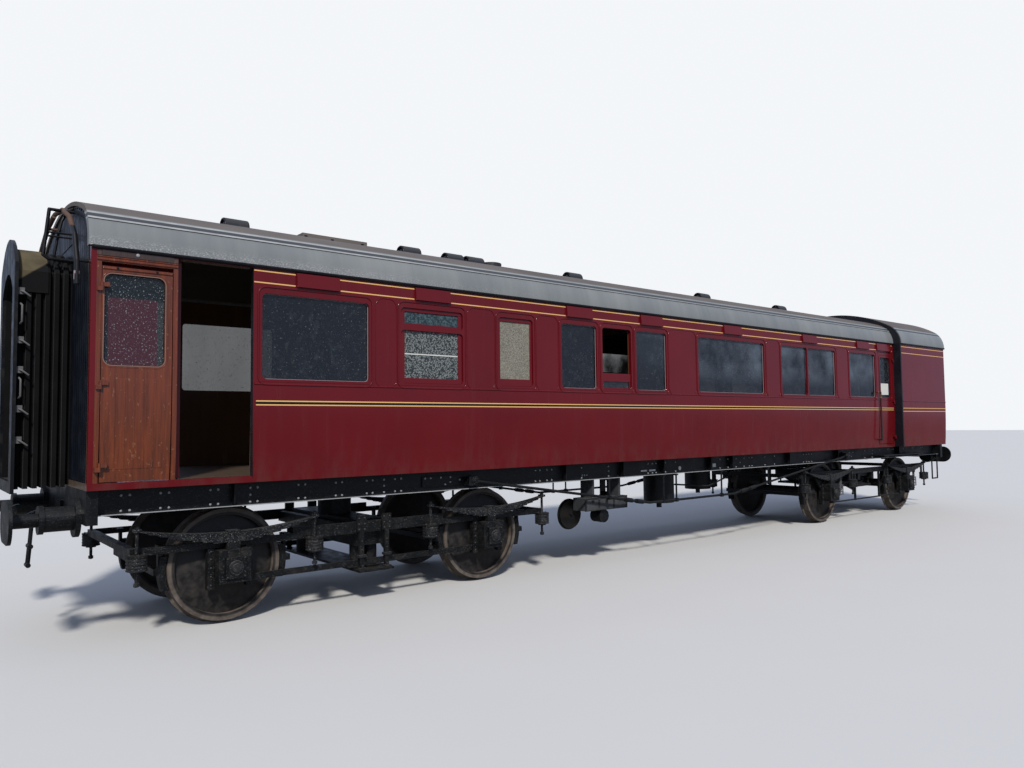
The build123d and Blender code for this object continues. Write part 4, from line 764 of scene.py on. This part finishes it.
def make_door_trim(side, name):
    # What swings with the hinged doors.
    def end_lines(mesh):
        add_lines(mesh, END_DOOR_SPAN, WAIST_LINES)

    def end_black(mesh):
        add_black(mesh, END_DOOR_SPAN)

    def end_beads(mesh):
        left, right, _, head = END_DOOR_LIGHT
        add_frame(mesh, left - 0.022, right + 0.03, BEAD_FOOT, head + 0.045, 0.065, 0.009, 0.006)
        add_block(mesh, 13.529, 13.537, BODY_HALF - 0.001, BODY_HALF + 0.005, 1.42, 2.24)

    def notice(mesh):
        add_block(mesh, 13.63, 13.93, 1.2788, 1.2798, 2.34, 2.56)

    def leaf_bead(mesh):
        # The bead round the light is coloured as a painted glint.
        left, right, foot, head = WOOD_DOOR_LIGHT
        gap = 0.003
        add_frame(mesh, left - gap, right + gap, foot - gap, head + gap, 0.062, 0.006, 0.003)

    def leaf_rails(mesh):
        y, height = BODY_HALF - SUNK, 3.178
        add_bar(mesh, spot(0.087, y, height), spot(0.636, y, height), 0.012)
        left, right, foot, head = WOOD_DOOR_LIGHT
        add_frame(mesh, left - 0.014, right + 0.016, foot - 0.016, head + 0.014, 0.075, 0.008, 0.002)
        for index in range(6):
            start = 0.125 + index * LEAF_BOARD
            add_strip(mesh, start + 0.003, start + LEAF_BOARD - 0.003, 1.5, 2.26, 0.003, steps=4)

    def leaf_dots(mesh):
        for station in (0.199, 0.51):
            add_spun(mesh, [(0, 0), (0, 0.011), (0.006, 0.009), (0.008, 0)],
                     spot(station, BOARD_FACE, 3.183), sides=12)

    def backing(mesh):
        left, right, foot, head = BACKING
        add_block(mesh, left, right, 1.2665, 1.2705, foot, head)

    for door, fill, title, material, bevel in (
            ("end", end_lines, "lining_gold", GOLD, 0), ("end", end_black, "lining_black", LINE_BLACK, 0),
            ("end", end_beads, "beads", END_DOOR_MAROON, 0.002), ("end", notice, "blank_notice", WHITE, 0),
            ("wood", leaf_bead, "window_bead", BEAD_GLINT, 0), ("wood", leaf_rails, "rails", WOOD, 0.0015),
            ("wood", leaf_dots, "screws", LINE_BLACK, 0), ("wood", backing, "backing_board", DULL_MAROON, 0)):
        mesh = bmesh.new()
        fill(mesh)
        if side < 0:
            flip_across(mesh, mesh.verts[:])
        add_piece(mesh, f"{door}_door_{title}_{name}", material, f"{door}_door_{name}", bevel, mirrored=False)


def make_doorway_trim():
    # Mouldings on the varnished frame, the ends and bolt head of its header board, and thin black sheets on
    # its jambs as painted shade.
    mesh = bmesh.new()
    for height, sunk, radius in ((3.25, 0.002, 0.013), (3.274, 0.001, 0.007)):
        y = BODY_HALF - sunk
        add_bar(mesh, spot(0.045, y, height), spot(0.68, y, height), radius)
    add_piece(mesh, "doorway_mouldings", WOOD)
    mesh = bmesh.new()
    for start, end in ((0.0415, 0.0788), (0.6462, 0.684)):
        add_block(mesh, start, end, 1.25, BODY_HALF + 0.004, 3.2832, 3.3297)
    add_piece(mesh, "doorway_header_ends", WEATHERED_WOOD, bevel=0.002)
    mesh = bmesh.new()
    # Thin black sheets on the jambs: painted shade.
    add_block(mesh, 1.354, 1.3555, 1.241, BODY_HALF - 0.0005, 1.392, 3.33)
    add_piece(mesh, "doorway_jambs_painted_shade", LINE_BLACK)
    mesh = bmesh.new()
    add_spun(mesh, [(0, 0), (0, 0.016), (0.006, 0.014), (0.01, 0.008), (0.011, 0)],
             spot(0.354, BOARD_FACE, 3.312), sides=16)
    add_piece(mesh, "doorway_bolt_heads", PUTTY)


# Roof

TORPEDO_STATIONS = (1.62, 3.83, 4.5, 4.84, 6.69, 9.82, 12.24)
VENT_Z = CROWN + 0.074
VENT_HALF = 0.125
CLIP_PLACES = ((2.3, -0.3), (2.62, -0.3), (3.0, -0.3), (3.16, -0.1), (3.3, 0.05), (3.55, -0.1))


def make_vent_rings():
    mesh = bmesh.new()
    rim = [(-0.003, 0.076), (0.004, 0.076), (0.01, 0.082), (0.01, 0.09), (0.004, 0.0955), (-0.003, 0.0955)]
    for station in TORPEDO_STATIONS:
        for end in (-1, 1):
            add_spun(mesh, rim, spot(station + end * VENT_HALF, 0, VENT_Z), (end, 0, 0), 32, True)
    add_piece(mesh, "roof_vent_rings", LINE_BLACK, smooth_deg=60, mirrored=False)


def make_roof_clips():
    # Small clips and bolts along the ridge between the hatch and the second ventilator.
    mesh = bmesh.new()
    for station, y in CLIP_PLACES:
        add_block(mesh, station - 0.02, station + 0.02, y - 0.03, y + 0.03, CROWN - 0.03, CROWN + 0.03)
        add_bar(mesh, spot(station, y, CROWN), spot(station, y, CROWN + 0.06), 0.008, 8)
    add_piece(mesh, "roof_clips", GANGWAY_BLACK, bevel=0.002, mirrored=False)


# Gangway end

INNER_HALF = 1.24
INNER_CROWN = 3.91
CORNER_SHARE = 0.718
END_FRONT = 0.004
END_BOARD = 0.092
GANGWAY_HALF, GANGWAY_HEAD = 0.49, 3.53


def arch_height(y):
    # Height of the arched end wall at a distance from its middle.
    rise = INNER_CROWN - EAVE
    corner = rise * CORNER_SHARE
    side = INNER_HALF - corner
    main = (side ** 2 + rise ** 2 - corner ** 2) / (2 * (rise - corner))
    if abs(y) <= main * math.sin(math.atan2(side, main - rise)):
        return INNER_CROWN - main + math.sqrt(main ** 2 - y ** 2)
    return EAVE + math.sqrt(max(0, corner ** 2 - (abs(y) - side) ** 2))


def make_end_boards():
    mesh = bmesh.new()
    for index in range(-13, 13):
        y0, y1 = index * END_BOARD + 0.004, (index + 1) * END_BOARD - 0.004
        top = min(arch_height(y0), arch_height(y1)) - 0.012
        foot = GANGWAY_HEAD if min(abs(y0), abs(y1)) < GANGWAY_HALF else 1.4
        add_block(mesh, END_FRONT - 0.007, END_FRONT + 0.001, y0, y1, foot, top)
    add_piece(mesh, "end_wall_boards", END_BLACK, bevel=0.003, mirrored=False)


def make_end_frames():
    # A bent frame with two rungs over the bellows, an arched stay beside it, and tags on the pipes.
    mesh = bmesh.new()
    y, stay_y = 0.5, 0.47
    bends = ((0, 3.807), (-0.2, 3.807), (-0.24, 3.39), (-0.2, 3.36), (0, 3.36))
    add_rod(mesh, [spot(station, y, height) for station, height in bends], 0.015)
    for height in (3.565, 3.6):
        add_bar(mesh, spot(-0.222, y, height), spot(0, y, height), 0.009)
    bends = ((0, 3.85), (-0.05, 3.82), (-0.095, 3.72), (-0.125, 3.58), (-0.15, 3.4), (-0.13, 3.36), (0, 3.35))
    add_rod(mesh, [spot(station, stay_y, height) for station, height in bends], 0.012)
    flip_across(mesh, mesh.verts[:])
    add_piece(mesh, "end_frame", GANGWAY_BLACK, smooth_deg=50, mirrored=False)
    mesh = bmesh.new()
    add_bar(mesh, spot(-0.086, 1.1875, 3.075), spot(-0.086, 1.186, 3.15), 0.0225, 20)
    add_piece(mesh, "end_pipe_tags", TAG_PINK, bevel=0.001)


def make_gangway_fittings():
    # Latches, eyes and hooks on the edge of the gangway face.
    mesh = bmesh.new()
    x, y = -0.4, 0.495
    for height in (3.05, 2.62, 2.36, 2.02, 1.75):
        add_block(mesh, x - 0.03, x + 0.03, y - 0.03, y + 0.012, height - 0.03, height + 0.03)
        add_rod(mesh, [spot(x, y + 0.01, height), spot(x + 0.02, y + 0.04, height - 0.01),
                       spot(x + 0.07, y + 0.045, height - 0.05)], 0.008, 8)
    for height in (2.85, 2.2):
        add_rod(mesh, [spot(x + out, y + aside, height + rise) for out, aside, rise in
                       ((0, 0, 0.09), (0.01, 0.035, 0.07), (0.01, 0.035, -0.07), (0, 0, -0.09))], 0.009, 8)
    add_piece(mesh, "gangway_fittings", FITTING_STEEL, smooth_deg=50, bevel=0.0015)


# Bolts

def add_bolt(mesh, centre, radius=0.0125, rise=0.011, axis=(0, 1, 0), sides=8):
    profile = [(-0.001, 0), (-0.001, radius), (rise * 0.6, radius * 0.86), (rise, radius * 0.45), (rise, 0)]
    add_spun(mesh, profile, centre, axis, sides)


def add_bolts(mesh, middle, offsets, y, heights, radius=0.0125, rise=0.011, sides=8):
    # Bolts in a face of the side: at each offset from a station's middle, and at each height.
    for offset in offsets:
        for height in heights:
            add_bolt(mesh, spot(middle + offset, y, height), radius, rise, sides=sides)


SOLEBAR_ROWS = (1.133, 1.266)
# Stations of the pairs and single bolts in both rows
SOLEBAR_BOLTS = [
    0.3, 0.37, 0.62, 0.69, 1.05, 1.12, 1.42, 1.49, 1.9, 1.97, 2.3, 2.37, 2.653, 2.722, 2.858, 2.993, 3.068,
    4.985, 5.058, 5.177, 5.255, 5.779, 6.281, 7.078, 7.171, 7.247, 7.402, 7.455, 7.68, 8.745, 8.95, 9.056,
    9.16, 9.375, 9.52, 9.593, 9.96, 10.24, 11.13, 11.23, 11.31, 11.4, 13.31, 13.6, 13.9, 14.254, 14.422,
    14.482, 14.83, 14.91, 15.3, 15.37, 15.72, 15.79,
]
MIDDLE_BOLTS = [2.858, 6.281, 9.272, 1.42, 13.6]
SOLEBAR_RIBS = [1.25, 5.443, 6.507, 7.35, 8.442, 8.982, 10.6, 12.2, 14.6]
# Where the truss rods are anchored to the solebar: station, and the way that the rod runs
TRUSS_ANCHORS = ((3.95, 1), (12.44, -1))
PLATE_BOLTS = ((-0.38, 1.252), (-0.25, 1.252), (-0.25, 1.196), (-0.32, 1.172), (-0.12, 1.215))
PLATE_FACE = SOLEBAR_WEB + 0.018
TRUSS_LOW, TRUSS_HIGH = 0.735, 1.2
ROD_Y = SOLEBAR_FACE + 0.02


def make_solebar_details():
    mesh = bmesh.new()
    add_bolts(mesh, 0, SOLEBAR_BOLTS, SOLEBAR_WEB, SOLEBAR_ROWS)
    add_bolts(mesh, 0, MIDDLE_BOLTS, SOLEBAR_WEB, [1.2])
    add_bolts(mesh, 0, [3.364, 3.437], PLATE_FACE, [1.252])
    add_bolts(mesh, 0, [5.79, 5.83, 5.87], SOLEBAR_WEB, [1.165])
    for middle, way in TRUSS_ANCHORS:
        for offset, height in PLATE_BOLTS:
            add_bolt(mesh, spot(middle + way * offset, PLATE_FACE, height))
    add_piece(mesh, "solebar_bolts", BOLT_HIGHLIGHT_GREY, smooth_deg=50)
    mesh = bmesh.new()
    # A pale line along the solebar's lower edge: a painted highlight.
    add_block(mesh, 0.11, 16.37, SOLEBAR_FACE - 0.001, SOLEBAR_FACE + 0.0004, 1.108, 1.116)
    add_piece(mesh, "solebar_edge_painted_highlight", BOLT_HIGHLIGHT_GREY)
    mesh = bmesh.new()
    root = SOLEBAR_WEB - 0.001
    for station in SOLEBAR_RIBS:
        add_block(mesh, station - 0.005, station + 0.005, root, SOLEBAR_FACE - 0.004, 1.119, 1.318)
        add_block(mesh, station + 0.004, station + 0.06, root, SOLEBAR_WEB + 0.01, 1.121, 1.316)
    add_piece(mesh, "solebar_ribs", FRAME_BLACK, bevel=0.001)
    mesh = bmesh.new()
    for x0, x1, z0, z1 in ((6.93, 7.055, 1.16, 1.182), (7.1, 7.235, 1.158, 1.182), (8.56, 8.64, 1.155, 1.21)):
        add_block(mesh, x0, x1, root, SOLEBAR_WEB + 0.003, z0, z1)
    add_spun(mesh, [(-0.001, 0), (-0.001, 0.03), (0.004, 0.03), (0.004, 0)], spot(7.775, SOLEBAR_WEB, 1.175))
    add_piece(mesh, "solebar_blank_labels", WHITE)


def make_truss_details():
    # Rounded anchor ends with their pins, and hexagon nuts on the truss rods.
    mesh = bmesh.new()
    for (middle, way), foot in zip(TRUSS_ANCHORS, (6.99, 8.95)):
        add_spun(mesh, [(0, 0), (0, 0.05), (0.014, 0.05), (0.014, 0.03), (0.03, 0.028), (0.03, 0)],
                 spot(middle + way * 0.03, SOLEBAR_FACE + 0.038, TRUSS_HIGH))
        start, end = Vector(spot(middle, ROD_Y, TRUSS_HIGH)), Vector(spot(foot, ROD_Y, TRUSS_LOW))
        reach = (end - start).normalized() * 0.012
        for share in (0.835, 0.885, 0.905, 0.955):
            nut = start.lerp(end, share)
            add_bar(mesh, nut - reach, nut + reach, 0.027, 6)
    add_piece(mesh, "truss_rod_nuts", GEAR_BLACK, smooth_deg=25, bevel=0.001)


# Bogies

BOX_Z = 0.533
BOX_FACE = 1.11
SPRING_Y = 0.985
UNIT_REACH = 0.83
BAR_FACE = 0.928
POST = 0.15
POST_FACE = 0.962
# Radius, rise and sides of the right bogie's rivets
RIVET = (0.008, 0.006, 6)


def add_axlebox_details(mesh, x):
    # Round lid of the axlebox with its bolts, the guide bolts of both horns, and the bolts over the buckle.
    add_spun(mesh, [(-0.001, 0), (-0.001, 0.072), (0.012, 0.068), (0.012, 0.045), (0.022, 0.04), (0.022, 0)],
             spot(x, BOX_FACE, BOX_Z))
    for turn in range(6):
        angle = turn * math.tau / 6
        run, rise = 0.057 * math.cos(angle), 0.057 * math.sin(angle)
        add_bolt(mesh, spot(x + run, BOX_FACE + 0.011, BOX_Z + rise), 0.008, 0.008)
    add_bolts(mesh, x, (-0.08, 0.08), BOX_FACE, (BOX_Z - 0.082, BOX_Z + 0.087), 0.01)
    add_bolts(mesh, x, (-0.181, 0.181), 0.948, (0.37, 0.45, 0.53, 0.61, 0.68), 0.011, 0.01)
    add_bolts(mesh, x, (-0.04, 0.04), 1.04, (0.775, 0.845), 0.009)


def add_unit_details(mesh, x):
    # Ball on the spring's eye, and ribs, bolts and nut of the spring unit under it.
    bmesh.ops.create_uvsphere(mesh, u_segments=12, v_segments=8, radius=0.024,
                              matrix=Matrix.Translation(spot(x, SPRING_Y, 0.966)))
    for foot in (0.6, 0.63, 0.66, 0.69):
        add_spun(mesh, [(-0.007, 0.05), (-0.006, 0.089), (0.006, 0.089), (0.007, 0.05)],
                 spot(x, SPRING_Y, foot), (0, 0, 1), 20)
    for dx, dy in ((-0.06, 0), (0.06, 0), (0, 0.06)):
        add_bolt(mesh, spot(x + dx, SPRING_Y + dy, 0.728), 0.01, 0.012, (0, 0, 1), 6)
    add_bar(mesh, spot(x, SPRING_Y, 0.455), spot(x, SPRING_Y, 0.485), 0.026, 6)


def add_left_bolts(mesh, middle):
    # Posts at the bolster with their bolts and brackets, and bolts along the side bar.
    for x in (middle - POST, middle + POST):
        add_bolts(mesh, x, (-0.033, 0.033), POST_FACE, (0.745, 0.8, 0.862), 0.012)
        add_bolts(mesh, x, [0], POST_FACE, (0.53, 0.62), 0.01)
        add_block(mesh, x - 0.045, x + 0.045, 0.93, 0.985, 0.455, 0.48)
        add_block(mesh, x - 0.04, x + 0.04, 0.93, 0.99, 0.332, 0.345)
        add_bar(mesh, spot(x, 0.975, 0.345), spot(x, 0.975, 0.37), 0.016, 6)
    offsets = [0.205 * step - 0.82 for step in range(9)]
    add_bolts(mesh, middle, [o for o in offsets if abs(abs(o) - POST) > 0.08], BAR_FACE, [0.8], 0.009)


def add_right_rivets(mesh, middle):
    # Rivets along the side bar, round the horns and down the transoms' ends.
    add_bolts(mesh, middle, [0.11 * step - 2.36 for step in range(44)], BAR_FACE + 0.0005, [0.894], *RIVET)
    for axle in (-AXLE_X, AXLE_X):
        for way in (-1, 1):
            x = middle + axle + way * 0.2125
            add_bolts(mesh, x, [way * (0.018 + 0.045 * k) for k in range(4)], BAR_FACE, [0.812], *RIVET)
            add_bolts(mesh, x, [way * 0.016], BAR_FACE, [0.812 - 0.05 * k for k in range(4)], *RIVET)
    add_bolts(mesh, middle, (-0.476, 0.476), BAR_FACE, (0.36, 0.44, 0.53, 0.62, 0.71, 0.79), *RIVET)
    add_bolts(mesh, middle, [0.09 * step - 0.27 for step in range(7)], BAR_FACE, [0.86], *RIVET)


def make_bogie_details(letter):
    middle, body = BOGIES[letter], f"bogie_{letter}"
    mesh = bmesh.new()
    for axle in (-AXLE_X, AXLE_X):
        add_axlebox_details(mesh, middle + axle)
        for offset in (-UNIT_REACH, UNIT_REACH):
            add_unit_details(mesh, middle + axle + offset)
    add_own = add_left_bolts if letter == "a" else add_right_rivets
    add_own(mesh, middle)
    add_piece(mesh, f"{body}_bolts", GEAR_BRIGHT, body, smooth_deg=45)


def make_slotted_brackets():
    # Frames with three slots on the right bogie, each on its hanger.
    mesh = bmesh.new()
    for axle in (-AXLE_X, AXLE_X):
        x = BOGIES["b"] + axle + 0.5
        for dx in (-0.05, 0.05):
            add_block(mesh, x + dx - 0.012, x + dx + 0.012, 0.93, 0.942, 0.46, 0.645)
        for height in (0.466, 0.524, 0.582, 0.639):
            add_block(mesh, x - 0.062, x + 0.062, 0.93, 0.944, height - 0.008, height + 0.008)
        add_block(mesh, x - 0.02, x + 0.02, 0.9, 0.932, 0.6, 0.86)
    add_piece(mesh, "bogie_b_slotted_brackets", FITTING_STEEL, "bogie_b", bevel=0.001)


def make_gear_details():
    # Bands and clasps round the battery boxes, and pipes between the vacuum cylinders.
    mesh = bmesh.new()
    x, y = 6.25, -1.06
    bands = [(offset - 0.014, offset + 0.014, 0.006, 0.688, 0.857) for offset in (-0.386, -0.14, 0.14, 0.386)]
    bands += [(offset - 0.02, offset + 0.02, 0.012, 0.8, 0.83) for offset in (-0.26, 0, 0.26)]
    bands += [(-0.392, 0.392, 0.004, 0.838, 0.857), (-0.392, 0.392, 0.004, 0.688, 0.7)]
    for left, right, proud, foot, head in bands:
        add_block(mesh, x + left, x + right, y - proud, y + 0.001, foot, head)
    add_piece(mesh, "battery_box_straps", GEAR_BRIGHT, bevel=0.001, mirrored=False)
    mesh = bmesh.new()
    for run in ([(5.4, 0.35, 1.1), (7.7, 0.35, 1.1), (7.9, -0.56, 1.09)],
                [(8.1, -0.7, 0.9), (8.6, -0.95, 0.86), (9.1, -0.95, 0.98), (9.6, -0.7, 1.12)]):
        add_rod(mesh, [spot(*place) for place in run], 0.013, 8)
    add_piece(mesh, "underfloor_pipes", GEAR_BLACK, smooth_deg=50, mirrored=False)


make_lining()
make_beads()
make_sashes()
make_inside_rails()
for side, name in ((-1, "near"), (1, "far")):
    make_door_trim(side, name)
make_doorway_trim()
make_vent_rings()
make_roof_clips()
make_end_boards()
make_end_frames()
make_gangway_fittings()
make_solebar_details()
make_truss_details()
for letter in BOGIES:
    make_bogie_details(letter)
make_slotted_brackets()
make_gear_details()
